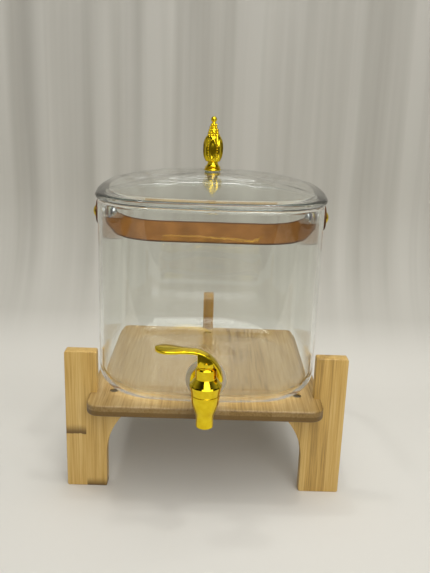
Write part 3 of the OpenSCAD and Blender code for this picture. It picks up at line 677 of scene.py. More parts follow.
@dataclass(frozen=True)
class StrapLeather(Finish):
    """Vegetable-tanned strap leather with burnished edges.

    The eye sees an uneven tan, a fine pebble grain and darker, smoother cut edges.
    """

    name: str = "tanned_strap_leather"
    light: str = "#8F5E22"
    dark: str = "#744914"
    edge: str = "#4E2E12"
    blotch: float = 22 * MM
    pebble: float = 1.6 * MM  # real grain is about 0.5 mm; drawn coarser so that it shows
    pebble_h: float = 0.2 * MM

    def surface(self, tree: Tree, place: Socket) -> Socket:
        """Wires the hide, its grain and its burnished edges.

        Args:
            tree: The material's node tree.
            place: The shaded point's place.

        Returns:
            The shader for the material's output.
        """
        blotch = add_node(tree, "TexNoise", {"Vector": place, "Scale": 1 / self.blotch, "Detail": 5.0})
        hide = add_node(tree, "ValToRGB", {0: blotch}, stops=[(0.32, self.light), (0.68, self.dark)])
        rim = add_node(tree, "Attribute", out="Fac", attribute_name="edge")
        shades = {0: rim, 6: hide, 7: linear(self.edge)}
        grain = {"Vector": place, "Scale": 1 / self.pebble}
        grain = add_node(tree, "TexVoronoi", grain, feature="SMOOTH_F1")
        relief = {"Strength": 0.35, "Distance": self.pebble_h, "Height": grain}
        leather = {
            "Base Color": add_node(tree, "Mix", shades, 2, data_type="RGBA"),
            "Roughness": add_node(tree, "MapRange", {0: blotch, 3: 0.55, 4: 0.75}),
            "Normal": add_node(tree, "Bump", relief),
            "Specular IOR Level": 0.25,
        }
        return add_node(tree, "BsdfPrincipled", leather)


@dataclass(frozen=True)
class Backcloth(Finish):
    """Matt studio cloth, pale on the floor and greyer on the wall, with painted shade darkening it up the
    wall and painted shade streaks along its soft upright folds.

    Its rear side is clear, so that the object can also be looked at from behind.
    """

    name: str = "matt_studio_cloth"
    # Tones from floor to top: the wall greys upwards into a painted dark shade, a painted fall of light.
    floor: str = "#DCD9D0"
    wall_low: str = "#BDBAB0"
    wall_high: str = "#B4B1A8"
    painted_top_shade: str = "#4A4844"
    # fold and bare are the painted shade streaks of the folds, multiplied over the wall only
    fold: str = "#E6E5E3"
    bare: str = "#FFFFFF"
    wall_top: float = 1.1
    streak_w: float = 38 * MM

    def surface(self, tree: Tree, place: Socket) -> Socket:
        """Wires the cloth's tones by height with their painted shade towards the top, its painted shade
        streaks and its clear rear side.

        Args:
            tree: The material's node tree.
            place: The shaded point's place.

        Returns:
            The shader for the material's output.
        """
        height = add_node(tree, "SeparateXYZ", {0: place}, 2)
        rise = add_node(tree, "MapRange", {0: height, 2: self.wall_top})
        hung = {"Vector": place, "Scale": (1 / self.streak_w, 0.2, 0.6)}
        hung = add_node(tree, "Mapping", hung)
        streak = add_node(tree, "TexNoise", {"Vector": hung, "Scale": 1.0, "Detail": 3.0})
        streak = add_node(tree, "ValToRGB", {0: streak}, stops=[(0.35, self.fold), (0.62, self.bare)])
        # Painted light falloff: the tone darkens with height up the wall into the painted dark shade.
        stops = [(0.0, self.floor), (0.055, self.wall_low), (0.6, self.wall_high), (0.8, self.painted_top_shade)]
        colour = add_node(tree, "ValToRGB", {0: rise}, stops=stops)
        # Painted shade streaks of the folds, multiplied over the wall and not the floor.
        upright = add_node(tree, "MapRange", {0: rise, 1: 0.02, 2: 0.12})
        shades = {0: upright, 6: colour, 7: streak}
        colour = add_node(tree, "Mix", shades, 2, data_type="RGBA", blend_type="MULTIPLY")
        cloth = add_node(tree, "BsdfPrincipled", {"Base Color": colour, "Roughness": 0.85})
        clear = add_node(tree, "BsdfTransparent")
        rear = add_node(tree, "NewGeometry", out="Backfacing")
        return add_node(tree, "MixShader", {0: rear, 1: cloth, 2: clear})


# Sub-assemblies


@dataclass
class Stand:
    """The bamboo plate, its three leg boards and the screws."""

    foot_w: float = 42 * MM
    horn_w: float = 32.5 * MM
    bracket_w: float = 76 * MM
    bracket_drop: float = 58 * MM
    corner_r: float = 2 * MM
    ease: float = 0.8 * MM
    knuckles: tuple = ((-6, 62 * MM), (-5, 0.0))

    def outline(self) -> Outline:
        """Draws a board's face.

        Returns:
            Distances out from the jar's axis and heights.
        """
        board_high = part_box("front_right_leg")[1]
        reach, top = board_high.x, board_high.z
        horn_in, foot_in = reach - self.horn_w, reach - self.foot_w
        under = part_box("base_plate")[0].z
        step = self.bracket_w - self.foot_w
        bow_r = (step**2 + self.bracket_drop**2) / (2 * step)
        bow = math.degrees(math.asin(self.bracket_drop / bow_r))
        r = self.corner_r
        return (
            arc((foot_in + r, r), r, 180, 270, 4)
            + arc((reach - r, r), r, 270, 360, 4)
            + arc((reach - r, top - r), r, 0, 90, 4)
            + arc((horn_in + r, top - r), r, 90, 180, 4)
            + [(horn_in, under)]
            + arc((foot_in - bow_r, under - self.bracket_drop), bow_r, bow, 0, 10)
        )

    def build(self) -> None:
        """Models the boards and dresses the whole stand."""
        middle = middle_of("base_plate")
        front = Bamboo("lacquered_bamboo_front_boards", Axis.X, Axis.Z, knuckles=self.knuckles).make()
        # The rear board gets a darker, browner copy of the bamboo: painted shade for the board that stands
        # in shadow behind the glass jar, partly also its darker laminated edge.
        rear = Bamboo("bamboo_rear_board_painted_shade", Axis.Y, Axis.Z, "#AD8520", "#936C16", "#5E4210").make()
        face = self.outline()
        for node, finish in (("front_left_leg", front), ("front_right_leg", front), ("rear_leg", rear)):
            low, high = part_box(node)
            if node == "rear_leg":
                rings = [[Vector((x, middle.y + u, z)) for u, z in face] for x in (low.x, high.x)]
            else:
                side = math.copysign(1, low.x + high.x)
                rings = [[Vector((side * u, y, z)) for u, z in face] for y in (low.y, high.y)]
            board = Loft(node + "_board", rings).finish()
            ease_edges(board, self.ease)
            smooth(board)
            settle(board, finish, "stand", "bamboo", node)
        plate = Bamboo(
            "lacquered_bamboo_plate",
            Axis.X,
            Axis.Y,
            pale="#B09564",
            tan="#9A7B42",
            brown="#604406",
            fibre_w=2.2 * MM,
            contrast=1.5,
            ply_z=middle.z,
        )
        dress(plate.make(), "base_plate")
        dress(Metal("zinc_plated_screw_steel", "#8E8A80", "#6C675C", 0.28, 0.4).make(), "stand_screws")


@dataclass
class Jar:
    """The blown glass jar with the holes for its tap and studs."""

    corner_r: float = 60 * MM
    wall: float = 4 * MM
    floor: float = 6 * MM
    foot_r: float = 24 * MM
    punt_r: float = 70 * MM
    punt_depth: float = 2 * MM
    punt_steps: int = 12
    lift: float = 0.2 * MM  # keeps the glass clear of the plate, so that it stays bright where they touch
    support: float = 2 * MM  # flat strip that keeps the shading of a wall true beside a curve
    tap_hole_d: float = 17 * MM
    tap_drill: float = 24 * MM
    stud_hole_d: float = 8 * MM
    stud_drill: float = 16 * MM

    def build(self, glass: Material) -> None:
        """Models the jar.

        Args:
            glass: The jar's finish.
        """
        low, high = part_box("glass_jar")
        axis = (low + high) / 2
        plan = BulgedSquare(high.x, self.corner_r)
        foot, wall, rim = self.foot_r, self.wall, self.wall / 2
        inner_r = foot - wall
        ground, bed, brim = low.z + self.lift, low.z + self.floor, high.z - rim
        rows = [(foot + self.support, ground)]
        rows += [(foot - x, ground + foot + z) for x, z in arc((0, 0), foot, -90, 0, 10)]
        rows += [(0, ground + foot + self.support), (0, brim - self.support)]
        rows += [(rim - x, brim + z) for x, z in arc((0, 0), rim, 0, 180, 10)]
        rows += [(wall, brim - self.support), (wall, bed + inner_r + self.support)]
        rows += [(foot - x, bed + inner_r + z) for x, z in arc((0, 0), inner_r, 0, -90, 8)]
        rows += [(foot + self.support, bed)]
        rings = []
        for i in range(1, self.punt_steps + 1):
            share = i / self.punt_steps
            rise = self.punt_depth * (1 - share**2) ** 2
            rings.append(plan.circle(axis, ground + rise, self.punt_r * share))
        rings += [plan.ring(axis, z, inset) for inset, z in rows]
        jar = Loft("jar_glass", rings).finish()
        self.drill_holes(jar, axis)
        smooth(jar)
        settle(jar, glass, "jar", "clear_glass", "glass_jar")

    def drill_holes(self, jar: Piece, axis: Vector) -> None:
        """Drills the holes of the tap and the studs where those pieces sit.

        Args:
            jar: The jar's mesh.
            axis: The middle of the jar.
        """
        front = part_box("tap_inner_gasket")[0].y - self.wall / 2
        spot = Vector((axis.x, front, middle_of("tap_inner_gasket").z))
        drill(jar, spot, Axis.Y, self.tap_hole_d, self.tap_drill)
        reach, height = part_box("glass_jar")[1].x - self.wall / 2, middle_of("strap_studs").z
        for x in (-reach, reach):
            drill(jar, Vector((x, axis.y, height)), Axis.X, self.stud_hole_d, self.stud_drill)


@dataclass
class Lid:
    """The domed glass lid with its rounded rim and centring flange."""

    jar_corner_r: float = 60 * MM
    bead_r: float = 3.25 * MM
    painted_bead_lines: tuple = (0.5, 0.97)  # where dark reflection lines are painted on the rim, as shares of its radius off its middle
    thickness: float = 4.5 * MM
    dome_rise: float = 15.5 * MM
    flat_r: float = 11 * MM
    hole_r: float = 3 * MM
    flange_inset: float = 5.8 * MM
    flange_t: float = 3 * MM
    flange_ease: float = 1.2 * MM
    blend: float = 3 * MM
    dome_steps: int = 24
    bead_steps: int = 24
    blend_steps: int = 8

    def build(self, glass: Material) -> None:
        """Models the lid.

        Args:
            glass: The lid's finish.
        """
        low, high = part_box("glass_lid")
        axis = (low + high) / 2
        half, jar_half = high.x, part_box("glass_jar")[1].x
        plan = BulgedSquare(half, self.jar_corner_r + half - jar_half)
        bead_r, ease, edge = self.bead_r, self.flange_ease, half - self.bead_r
        seat = high.z - self.dome_rise - 2 * bead_r
        flange = jar_half - self.flange_inset
        inner = flange - self.flange_t
        start = inner - self.blend

        def dome(first: float, last: float, drop: float) -> Outline:
            """Draws the dome between two reaches, some way below its top face.

            Args:
                first: The first reach along the axis.
                last: The last reach.
                drop: How far below the top face.

            Returns:
                Reaches and heights.
            """
            points = []
            for i in range(self.dome_steps + 1):
                reach = first + (last - first) * i / self.dome_steps
                run = (reach - self.flat_r) / (edge - self.flat_r)
                points.append((reach, high.z - self.dome_rise * run * run - drop))
            return points

        rows = dome(self.flat_r, edge, 0.0)
        bead = arc((edge, seat + bead_r), bead_r, 90, -90, self.bead_steps)[1:]
        # These marks place the painted dark reflection lines on the rim bead.
        marks = [0.0] * (len(rows) + 1)
        for _, z in bead:
            off = abs(z - seat - bead_r) / bead_r
            marks.append(1.0 if self.painted_bead_lines[0] < off < self.painted_bead_lines[1] else 0.0)
        rows += bead
        rows += [(flange + ease, seat), (flange, seat - ease / 2)]
        rows += arc((flange - ease, low.z + ease), ease, 0, -90, 6)
        rows += arc((inner + ease, low.z + ease), ease, -90, -165, 6)
        foot_x, foot_z = rows[-1]
        under = dome(start, self.flat_r, self.thickness)
        for i in range(1, self.blend_steps + 1):
            turn = QUARTER * i / self.blend_steps
            z = foot_z + (under[0][1] - foot_z) * math.sin(turn)
            rows.append((start + (foot_x - start) * math.cos(turn), z))
        rows += under[1:]
        hole = plan.circle(axis, high.z, self.hole_r)
        rings = [hole] + [plan.ring(axis, z, share=reach / half) for reach, z in rows]
        rings += [plan.circle(axis, high.z - self.thickness, self.hole_r), hole]
        loft = Loft("lid_glass", rings)
        loft.mark("edge", [[mark] * len(hole) for mark in marks])
        lid = loft.finish(closed=False)
        smooth(lid)
        settle(lid, glass, "lid", "clear_glass", "glass_lid")


@dataclass
class Finial:
    """The gilt ornament on the lid: ringed foot, barrel with framed niches, rows of beads and a ball."""

    lobes: int = 6
    around: int = 192
    barrel_steps: int = 56
    foot_r: float = 9 * MM
    foot_h: float = 9 * MM
    foot_ring_r: float = 1.1 * MM
    step_r: float = 0.5 * MM
    step_in: float = 1.6 * MM
    step_z: float = 2.6 * MM
    flare_z: float = 3 * MM
    neck_r: float = 5.4 * MM
    body_r: float = 10.1 * MM
    body_h: float = 27 * MM
    bulge: float = 0.3
    shoulder_r: float = 5.2 * MM
    ball_r: float = 3.2 * MM
    bead_r: float = 1.7 * MM
    bead_rows: int = 5
    bead_pitch: float = 2.05
    bead_flat: float = 0.92
    stud_r: float = 0.85 * MM
    studs: int = 7
    stud_low: float = 0.2
    stud_step: float = 0.1
    niche: tuple = (0.6, 0.36)  # half sizes, as shares of a lobe's half width and of the barrel's height
    niche_depth: float = 0.9 * MM
    niche_slope: float = 3.0
    frame_h: float = 0.55 * MM
    frame_at: float = 1.1
    frame_w: float = 0.14
    groove_depth: float = 0.8 * MM
    groove_power: int = 5
    phase: float = math.radians(-4)

    def radius(self, share: float, turn: float) -> float:
        """Finds the barrel's radius.

        Args:
            share: The height up the barrel, from 0 to 1.
            turn: The angle round the barrel, in radians.

        Returns:
            The radius there.
        """
        low = self.neck_r + (self.shoulder_r - self.neck_r) * share
        bulge = max(0.0, math.sin(math.pi * share)) ** self.bulge
        across = ((turn - self.phase) * self.lobes / TAU) % 1 * 2 - 1
        oval = math.hypot(across / self.niche[0], (share - 0.5) / self.niche[1])
        niche = self.niche_depth * max(0.0, min(1.0, (1 - oval) * self.niche_slope))
        rim = self.frame_h * math.exp(-(((oval - self.frame_at) / self.frame_w) ** 2))
        groove = self.groove_depth * abs(across) ** self.groove_power
        return low + (self.body_r - low) * bulge + bulge * (rim - niche - groove)

    @cached_property
    def axis(self) -> Vector:
        """Finds the middle of the finial."""
        return middle_of("finial")

    def spot(self, z: float, radius: float, turn: float) -> Vector:
        """Finds a point round the finial's axis."""
        return Vector((self.axis.x + radius * math.cos(turn), self.axis.y + radius * math.sin(turn), z))

    def ring(self, z: float, radius: float) -> Ring:
        """Draws a round ring."""
        return [self.spot(z, radius, TAU * k / self.around) for k in range(self.around)]

    def build(self, gilt: Material) -> None:
        """Models the ornament.

        Args:
            gilt: The ornament's finish.
        """
        low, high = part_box("finial")
        flare, ring_r = self.foot_h - self.flare_z, self.foot_ring_r
        rows = [(self.neck_r * 0.6, 0.0), (self.foot_r - ring_r, 0.0)]
        rows += arc((self.foot_r - ring_r, ring_r), ring_r, -90, 90, 8)
        rows += arc((self.foot_r - self.step_in, self.step_z), self.step_r, -60, 90, 5)
        rows += arc((self.neck_r + flare, self.foot_h), flare, 245, 180, 8)
        rings = [self.ring(low.z + z, r) for r, z in rows]
        base = low.z + self.foot_h
        turns = [TAU * k / self.around for k in range(self.around)]
        for i in range(1, self.barrel_steps + 1):
            share = i / self.barrel_steps
            rings.append([self.spot(base + self.body_h * share, self.radius(share, t), t) for t in turns])
        centre = high.z - self.ball_r
        rings.append(self.ring(centre - 0.8 * self.ball_r, 0.55 * self.ball_r))
        rings += [self.ring(z, r) for r, z in arc((0, centre), self.ball_r, -50, 84, 14)]
        ornament = Loft("finial_ornament", rings).finish()
        beads = self.copies(self.bead_r, self.cone_spots(base + self.body_h, centre - self.ball_r))
        beads += self.copies(self.stud_r, self.groove_spots(base))
        pick(ornament, *beads)
        bpy.ops.object.join()
        smooth(ornament, 50)
        settle(ornament, gilt, "lid", "gilt", "finial")

    def cone_spots(self, base: float, top: float) -> Ring:
        """Places the rows of beads round the cone.

        Args:
            base: The height of the cone's foot.
            top: The height of the cone's top.

        Returns:
            The beads' middles.
        """
        spots = []
        for row in range(self.bead_rows):
            share = (row + 0.1) / self.bead_rows
            reach = self.shoulder_r + (0.5 * self.ball_r - self.shoulder_r) * share
            count = max(5, int(TAU * reach / (self.bead_pitch * self.bead_r)))
            for i in range(count):
                turn = TAU * (i + 0.5 * (row % 2)) / count
                spots.append(self.spot(base + (top - base) * share, reach, turn))
        return spots

    def groove_spots(self, base: float) -> Ring:
        """Places a row of small beads down each groove of the barrel.

        Args:
            base: The height of the barrel's foot.

        Returns:
            The beads' middles.
        """
        spots = []
        for lobe in range(self.lobes):
            turn = self.phase + TAU * lobe / self.lobes
            for i in range(self.studs):
                share = self.stud_low + self.stud_step * i
                spots.append(self.spot(base + self.body_h * share, self.radius(share, turn), turn))
        return spots

    def copies(self, radius: float, spots: Ring) -> list[Piece]:
        """Models one bead, slightly flattened, and copies it to every place.

        Args:
            radius: The bead's radius.
            spots: The beads' middles.

        Returns:
            The beads.
        """
        pick()
        bpy.ops.mesh.primitive_ico_sphere_add(subdivisions=2, radius=radius)
        first = bpy.context.object
        first.data.transform(Matrix.Diagonal((1, 1, self.bead_flat, 1)))
        beads = []
        for spot in spots:
            bead = first.copy()
            bead.data = first.data.copy()
            bead.data.transform(Matrix.Translation(spot))
            bpy.context.collection.objects.link(bead)
            beads.append(bead)
        bpy.data.objects.remove(first)
        return beads


@dataclass
class Strap:
    """The leather bail strap: a flat band bent to a U, hung behind the jar on the studs."""

    width: float = 27 * MM
    thickness: float = 2.8 * MM
    bend_r: float = 58 * MM
    tilt: float = math.radians(20)
    edge_r: float = 0.9 * MM
    burnish: float = 1.2  # how far in from the edge it is burnished, as a share of the edge's radius
    end_turn: float = math.radians(86)
    hole_d: float = 7.1 * MM
    hole_drill: float = 8 * MM
    end_steps: int = 8
    bend_steps: int = 16
    back_steps: int = 6

    def section(self, half_w: float) -> Outline:
        """Draws the band's section.

        Args:
            half_w: Half the band's width there.

        Returns:
            Places through and across the band.
        """
        a, b = self.thickness / 2, half_w
        r = min(self.edge_r, 0.6 * half_w)
        points = []
        for sx, sy, start in ((1, 1, 0), (-1, 1, 90), (-1, -1, 180), (1, -1, 270)):
            points += arc((sx * (a - r), sy * (b - r)), r, start, start + 90, 4)
            if sx * sy < 0:
                points += [(sx * a, share * (b - r)) for share in (0.88 * sy, -0.88 * sy)]
        return points

    def stations(self, inner_half: float, reach: float) -> list[tuple]:
        """Lists the stops along the band.

        Args:
            inner_half: Half the gap between the band's two ends.
            reach: The distance of the band's inner face from the pivots.

        Returns:
            Place and facing in the band's own plane, and half the width, at each stop.
        """
        mid = inner_half + self.thickness / 2
        straight, across = reach - self.bend_r, inner_half - self.bend_r
        half, turn_r = self.width / 2, self.bend_r + self.thickness / 2
        right = []
        for i in range(self.end_steps + 1):
            angle = self.end_turn * (1 - i / self.end_steps)
            right.append((mid, -half * math.sin(angle), 0.0, half * math.cos(angle)))
        for i in range(1, self.end_steps + 1):
            right.append((mid, straight * i / self.end_steps, 0.0, half))
        for i in range(1, self.bend_steps + 1):
            angle = QUARTER * i / self.bend_steps
            x, run = across + turn_r * math.cos(angle), straight + turn_r * math.sin(angle)
            right.append((x, run, angle, half))
        for i in range(1, self.back_steps + 1):
            right.append((across * (1 - i / self.back_steps), straight + turn_r, QUARTER, half))
        return right + [(-x, run, math.pi - a, h) for x, run, a, h in reversed(right[:-1])]

    def build(self, leather: Material) -> None:
        """Models the band.

        Args:
            leather: The band's finish.
        """
        pivot = middle_of("strap_studs")
        back = Vector((0, math.cos(self.tilt), -math.sin(self.tilt)))
        wide = Vector((0, math.sin(self.tilt), math.cos(self.tilt)))
        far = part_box("strap_handle")[1]
        inner_half = far.x - self.thickness
        reach = (far.y - pivot.y - self.width / 2 * wide.y) / back.y - self.thickness
        rings = []
        for x, run, facing, half_w in self.stations(inner_half, reach):
            out = Vector((math.cos(facing), 0, 0)) + math.sin(facing) * back
            spot = pivot + Vector((x, 0, 0)) + run * back
            rings.append([spot + a * out + b * wide for a, b in self.section(half_w)])
        loft = Loft("strap_band", rings)
        inside = self.width / 2 - self.burnish * self.edge_r
        burnt = [1.0 if abs(b) > inside else 0.0 for _, b in self.section(self.width / 2)]
        loft.mark("edge", [burnt] * len(rings))
        band = loft.finish()
        mid = inner_half + self.thickness / 2
        for x in (-mid, mid):
            drill(band, pivot + Vector((x, 0, 0)), Axis.X, self.hole_d, self.hole_drill)
        smooth(band)
        settle(band, leather, "strap", "leather", "strap_handle")


@dataclass
class Tap:
    """The gilt lever tap, its seals and its valve."""

    lever_t: float = 3.4 * MM
    crown: float = 0.8 * MM
    tip_w: float = 0.6 * MM
    paddle_r: float = 10.5 * MM
    neck_w: float = 12.4 * MM
    neck_back: float = 2 * MM
    fork_w: float = 13 * MM
    slot_w: float = 5 * MM
    arch_r: float = 29.6 * MM
    arm_rise: float = math.radians(3)
    arm_steps: int = 40
    arch_steps: int = 24
    heel_r: float = 2.5 * MM
    cam_offset: float = 5.5 * MM
    cheek_back: float = 6.5 * MM
    pin_d: float = 2.9 * MM
    bevel: float = 0.5 * MM
    wire_d: float = 0.9 * MM
    wire_sides: int = 12
    coil_turns: int = 4
    coil_steps: int = 24

    @cached_property
    def axis(self) -> Vector:
        """Finds a point of the tap's axis."""
        return middle_of("tap_bonnet")

    @cached_property
    def tip(self) -> float:
        """Finds the lever's tip, from the tap's axis."""
        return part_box("tap_lever")[0].x - self.axis.x

    @cached_property
    def arch(self) -> Vector:
        """Finds the middle of the lever's arch.

        Returns:
            The place along the lever, from the tap's axis, and the height.
        """
        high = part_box("tap_lever")[1]
        x = high.x - self.axis.x - self.arch_r
        run = x + self.arch_r * math.sin(self.arm_rise) - self.tip
        return Vector((x, high.z - self.arch_r * math.cos(self.arm_rise) - run * math.tan(self.arm_rise)))

    def half_width(self, x: float) -> float:
        """Finds half the lever's width.

        Args:
            x: The place along the lever, from the tap's axis.

        Returns:
            Half the width there.
        """
        paddle = self.tip + self.paddle_r
        if x < paddle:
            return max(self.tip_w / 2, math.sqrt(max(0.0, self.paddle_r**2 - (x - paddle) ** 2)))
        neck, fork = self.arch.x - self.neck_back, self.arch.x / 2
        if x < neck:
            run = (x - paddle) / (neck - paddle)
            ease = run * run * (3 - 2 * run)
            return self.paddle_r + (self.neck_w / 2 - self.paddle_r) * ease
        run = min(1.0, (x - neck) / (fork - neck))
        return (self.neck_w + (self.fork_w - self.neck_w) * run) / 2

    def arm(self) -> Piece:
        """Models the lever's crowned leaf and the arch that runs down beside the bonnet.

        Returns:
            The arm.
        """
        mid_r = self.arch_r - self.lever_t / 2
        rise, crest = self.arm_rise, QUARTER - self.arm_rise
        join = self.arch + mid_r * Vector((math.sin(rise), math.cos(rise)))
        run = (join.x - self.tip) / math.cos(rise)
        spots = []
        for i in range(self.arm_steps + 1):
            ahead = run * math.cos(QUARTER * i / self.arm_steps)
            spots.append((join.x - ahead * math.cos(rise), join.y + ahead * math.sin(rise), crest))
        end = math.asin((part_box("tap_lever")[0].z - self.arch.y) / mid_r)
        for i in range(1, self.arch_steps + 1):
            turn = crest + (end - crest) * i / self.arch_steps
            spots.append((self.arch.x + mid_r * math.cos(turn), self.arch.y + mid_r * math.sin(turn), turn))
        rings = []
        for x, z, turn in spots:
            out = Vector((math.cos(turn), 0, math.sin(turn)))
            centre = Vector((self.axis.x + x, self.axis.y, z))
            section = self.arm_section(self.half_width(x))
            rings.append([centre + Vector((0, y, 0)) + n * out for y, n in section])
        return Loft("lever_arm", rings).finish()

    def arm_section(self, half: float) -> Outline:
        """Draws the arm's section: crowned above, nearly flat below, with round edges.

        Args:
            half: Half the arm's width there.

        Returns:
            Places across the arm and out from its middle.
        """
        r = min(self.lever_t * 0.2, 0.45 * half)
        crown = min(self.crown, 0.12 * half)
        deep = self.lever_t / 2
        side = half - r
        points = arc((side, deep - crown - r), r, 0, 80, 5)
        points += [(side * (1 - i / 4), deep - crown * (1 - i / 4) ** 2) for i in range(1, 8)]
        points += arc((-side, deep - crown - r), r, 100, 180, 5)
        points += arc((-side, -deep + r), r, 180, 270, 5)
        points += arc((side, -deep + r), r, 270, 360, 5)
        return points

    def cheek(self, side: int) -> Piece:
        """Models one cheek of the lever's fork, with its cam heel and the pin's hole.

        Args:
            side: -1 for the front cheek, 1 for the rear one.

        Returns:
            The cheek.
        """
        axis, pin_z = self.axis, middle_of("lever_pin").z
        reach = self.arch_r - self.lever_t / 2
        front, back = -self.cam_offset - self.heel_r, self.cheek_back
        start, end = (math.degrees(math.acos((x - self.arch.x) / reach)) for x in (back, front))
        face = arc((-self.cam_offset, pin_z), self.heel_r, 180, 270, 8)
        face += [(back, pin_z - self.heel_r)]
        face += arc(self.arch, reach, start, end, 12)
        sides = [axis.y + side * w / 2 for w in (self.slot_w, self.fork_w)]
        plate = Loft("lever_cheek", [[Vector((axis.x + x, y, z)) for x, z in face] for y in sides]).finish()
        ease_edges(plate, self.bevel)
        drill(plate, Vector((axis.x, axis.y, pin_z)), Axis.Y, self.pin_d, 2 * self.fork_w)
        return plate

    def lever(self, gilt: Material) -> None:
        """Models the lever from its arm and its two cheeks.

        Args:
            gilt: The lever's finish.
        """
        arm = self.arm()
        pick(arm, *[self.cheek(side) for side in (-1, 1)])
        bpy.ops.object.join()
        arm.name = arm.data.name = "lever_casting"
        smooth(arm, 40)
        settle(arm, gilt, "lever", "gilt", "tap_lever")

    def coil(self, steel: Material) -> None:
        """Models the valve's spring, which the rising stem squeezes against the bonnet.

        Args:
            steel: The spring's finish.
        """
        low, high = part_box("valve_spring")
        axis = (low + high) / 2
        wire_r = self.wire_d / 2
        mean_r = (high.x - low.x) / 2 - wire_r
        wire = arc((0, 0), wire_r, 0, 360, self.wire_sides)[1:]
        steps = self.coil_turns * self.coil_steps
        rings = []
        for i in range(steps + 1):
            turn = TAU * i / self.coil_steps
            out = Vector((math.cos(turn), math.sin(turn), 0))
            height = low.z + wire_r + (high.z - low.z - self.wire_d) * i / steps
            middle = Vector((axis.x, axis.y, height)) + mean_r * out
            rings.append([middle + a * out + Vector((0, 0, b)) for a, b in wire])
        spring = Loft("valve_coil", rings).finish()
        smooth(spring, 50)
        settle(spring, steel, "swivel", "steel", "valve_spring")
        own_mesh(spring)

    def build(self, gilt: Material, steel: Material, rubber: Material) -> None:
        """Models the lever and the spring and dresses the rest of the tap and the small hardware.

        Args:
            gilt: The finish of plated pieces.
            steel: The finish of plain metal pieces.
            rubber: The finish of seals.
        """
        self.lever(gilt)
        self.coil(steel)
        dress(gilt, "tap_body", "tap_bonnet", "tap_lock_nut", "cam_washer", "lever_pin")
        dress(gilt, "strap_studs", "stud_spacers", "strap_eyelets")
        dress(steel, "valve_stem", "stud_cap_nuts", "finial_washer", "finial_screw")
        dress(rubber, "tap_outer_gasket", "tap_inner_gasket", "stem_o_ring", "stud_gaskets")
        dress(rubber, "finial_gaskets", "valve_plug")


@dataclass(frozen=True)
class Lamp:
    """A soft square lamp."""

    name: str
    place: tuple
    target: tuple
    size: float
    watts: float

    def build(self) -> None:
        """Hangs the lamp and aims it at its target."""
        data = bpy.data.lights.new(self.name, "AREA")
        data.shape = "SQUARE"
        data.size = self.size
        data.energy = self.watts
        lamp = bpy.data.objects.new(self.name, data)
        lamp.location = self.place
        lamp.rotation_mode = "QUATERNION"
        aim = Vector(self.target) - Vector(self.place)
        lamp.rotation_quaternion = aim.to_track_quat("-Z", "Y")
        bpy.context.collection.objects.link(lamp)


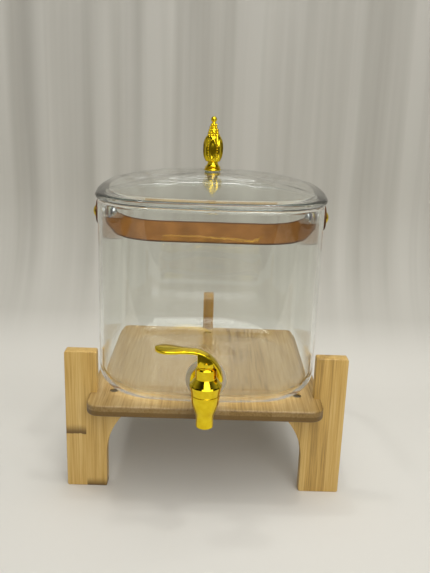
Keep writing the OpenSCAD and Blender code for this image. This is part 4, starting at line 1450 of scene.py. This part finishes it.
@dataclass
class Studio:
    """The backcloth, the lamps and the camera."""

    wall_y: float = 0.42
    cove_r: float = 0.24
    depth: float = 0.76
    width: float = 3.2
    height: float = 1.7
    fold_h: float = 4 * MM
    fold_start: float = 0.25
    folds: tuple = ((1.0, 74, 0.0), (0.6, 121, 1.3), (0.4, 33, 0.4))  # share, turns and shift of each wave
    lamps: tuple = (
        Lamp("overhead_softbox", (0.14, -0.3, 1.5), (0, 0.05, 0.15), 1.3, 13.2),
        Lamp("front_fill", (0.35, -1.5, 1.1), (0, 0, 0.2), 1.2, 15.0),
        Lamp("ceiling_lamp_left", (-0.55, 0.1, 1.9), (0, 0, 0.1), 0.12, 2.5),
        Lamp("ceiling_lamp_right", (0.4, -0.2, 1.9), (0, 0, 0.1), 0.12, 2.5),
    )
    room: tuple = ((0.0, "#8E8A83"), (0.06, "#F4F2EE"), (0.45, "#F4F2EE"), (0.7, "#2E2D2B"))
    room_light: float = 0.37
    camera_at: tuple = (0.0016, -0.7157, 0.4073)
    yaw: float = 0.007
    pitch: float = 0.278
    roll: float = 0.033
    focal_px: float = 680.0
    sensor: float = 36.0

    def backcloth(self) -> None:
        """Models the cloth as one sheet: floor, cove and wall with soft upright folds."""
        pick()
        bpy.ops.mesh.primitive_grid_add(x_subdivisions=180, y_subdivisions=90, size=2.0)
        cloth = bpy.context.object
        cloth.name = "studio_cloth"
        bend = self.cove_r * QUARTER
        total = self.depth + bend + self.height
        start = self.wall_y - self.cove_r
        for vert in cloth.data.vertices:
            x = vert.co.x * self.width / 2
            run = (vert.co.y + 1) / 2 * total - self.depth
            if run < 0:
                y, z = start + run, 0.0
            elif run < bend:
                angle = run / self.cove_r
                y, z = start + self.cove_r * math.sin(angle), self.cove_r * (1 - math.cos(angle))
            else:
                y, z = self.wall_y, self.cove_r + run - bend
            fade = max(0.0, min(1.0, z / self.fold_start))
            fold = sum(share * math.sin(x * turns + shift) for share, turns, shift in self.folds)
            vert.co = Vector((x, y + self.fold_h * fade * fold, z))
        smooth(cloth, 60)
        cloth.data.materials.append(Backcloth().make())

    def light(self) -> None:
        """Hangs the lamps and gives the room an even light that darkens overhead."""
        for lamp in self.lamps:
            lamp.build()
        world = bpy.data.worlds.new("studio_room")
        world.use_nodes = True
        tree = world.node_tree
        tree.nodes.clear()
        way = add_node(tree, "TexCoord", out="Generated")
        rise = add_node(tree, "SeparateXYZ", {0: way}, 2)
        room = add_node(tree, "ValToRGB", {0: rise}, stops=self.room)
        glow = add_node(tree, "Background", {"Color": room, "Strength": self.room_light})
        add_node(tree, "OutputWorld", {"Surface": glow})
        bpy.context.scene.world = world

    def camera(self) -> None:
        """Places the camera at the photograph's viewing point."""
        level = Vector((math.cos(self.yaw), -math.sin(self.yaw), 0))
        flat = Vector((math.sin(self.yaw), math.cos(self.yaw), 0))
        ahead = math.cos(self.pitch) * flat - Vector((0, 0, math.sin(self.pitch)))
        upright = level.cross(ahead)
        c, s = math.cos(self.roll), math.sin(self.roll)
        turn = Matrix((c * level + s * upright, c * upright - s * level, -ahead)).transposed()
        data = bpy.data.cameras.new("photo_camera")
        data.sensor_width = self.sensor
        data.lens = self.focal_px / max(PHOTO_W, PHOTO_H) * self.sensor
        camera = bpy.data.objects.new("photo_camera", data)
        camera.matrix_world = Matrix.Translation(self.camera_at) @ turn.to_4x4()
        bpy.context.collection.objects.link(camera)
        bpy.context.scene.camera = camera

    def build(self) -> None:
        """Sets up the whole studio."""
        self.camera()
        self.backcloth()
        self.light()
        bpy.context.scene.view_settings.view_transform = "Standard"


def main() -> None:
    """Builds the studio and the sub-assemblies in order."""
    logging.basicConfig(level=logging.INFO, format="%(name)s %(message)s")
    Studio().build()
    gilt = Metal("bright_gold_plate", "#F2D730", "#DFBD1C", 0.07, 0.16).make()
    steel = Metal("plain_stainless_steel", "#C9CBCC", "#B4B6B8", 0.16, 0.32).make()
    rubber = Silicone().make()
    Stand().build()
    Jar().build(BlownGlass("blown_jar_glass").make())
    # The lid's deep colour paints dark reflection lines along its rim.
    Lid().build(BlownGlass("pressed_lid_glass", "#F8FAF6", "#4A5553", turns=5.5).make())
    Finial().build(gilt)
    Strap().build(StrapLeather().make())
    Tap().build(gilt, steel, rubber)


if __name__ == "__main__":
    main()
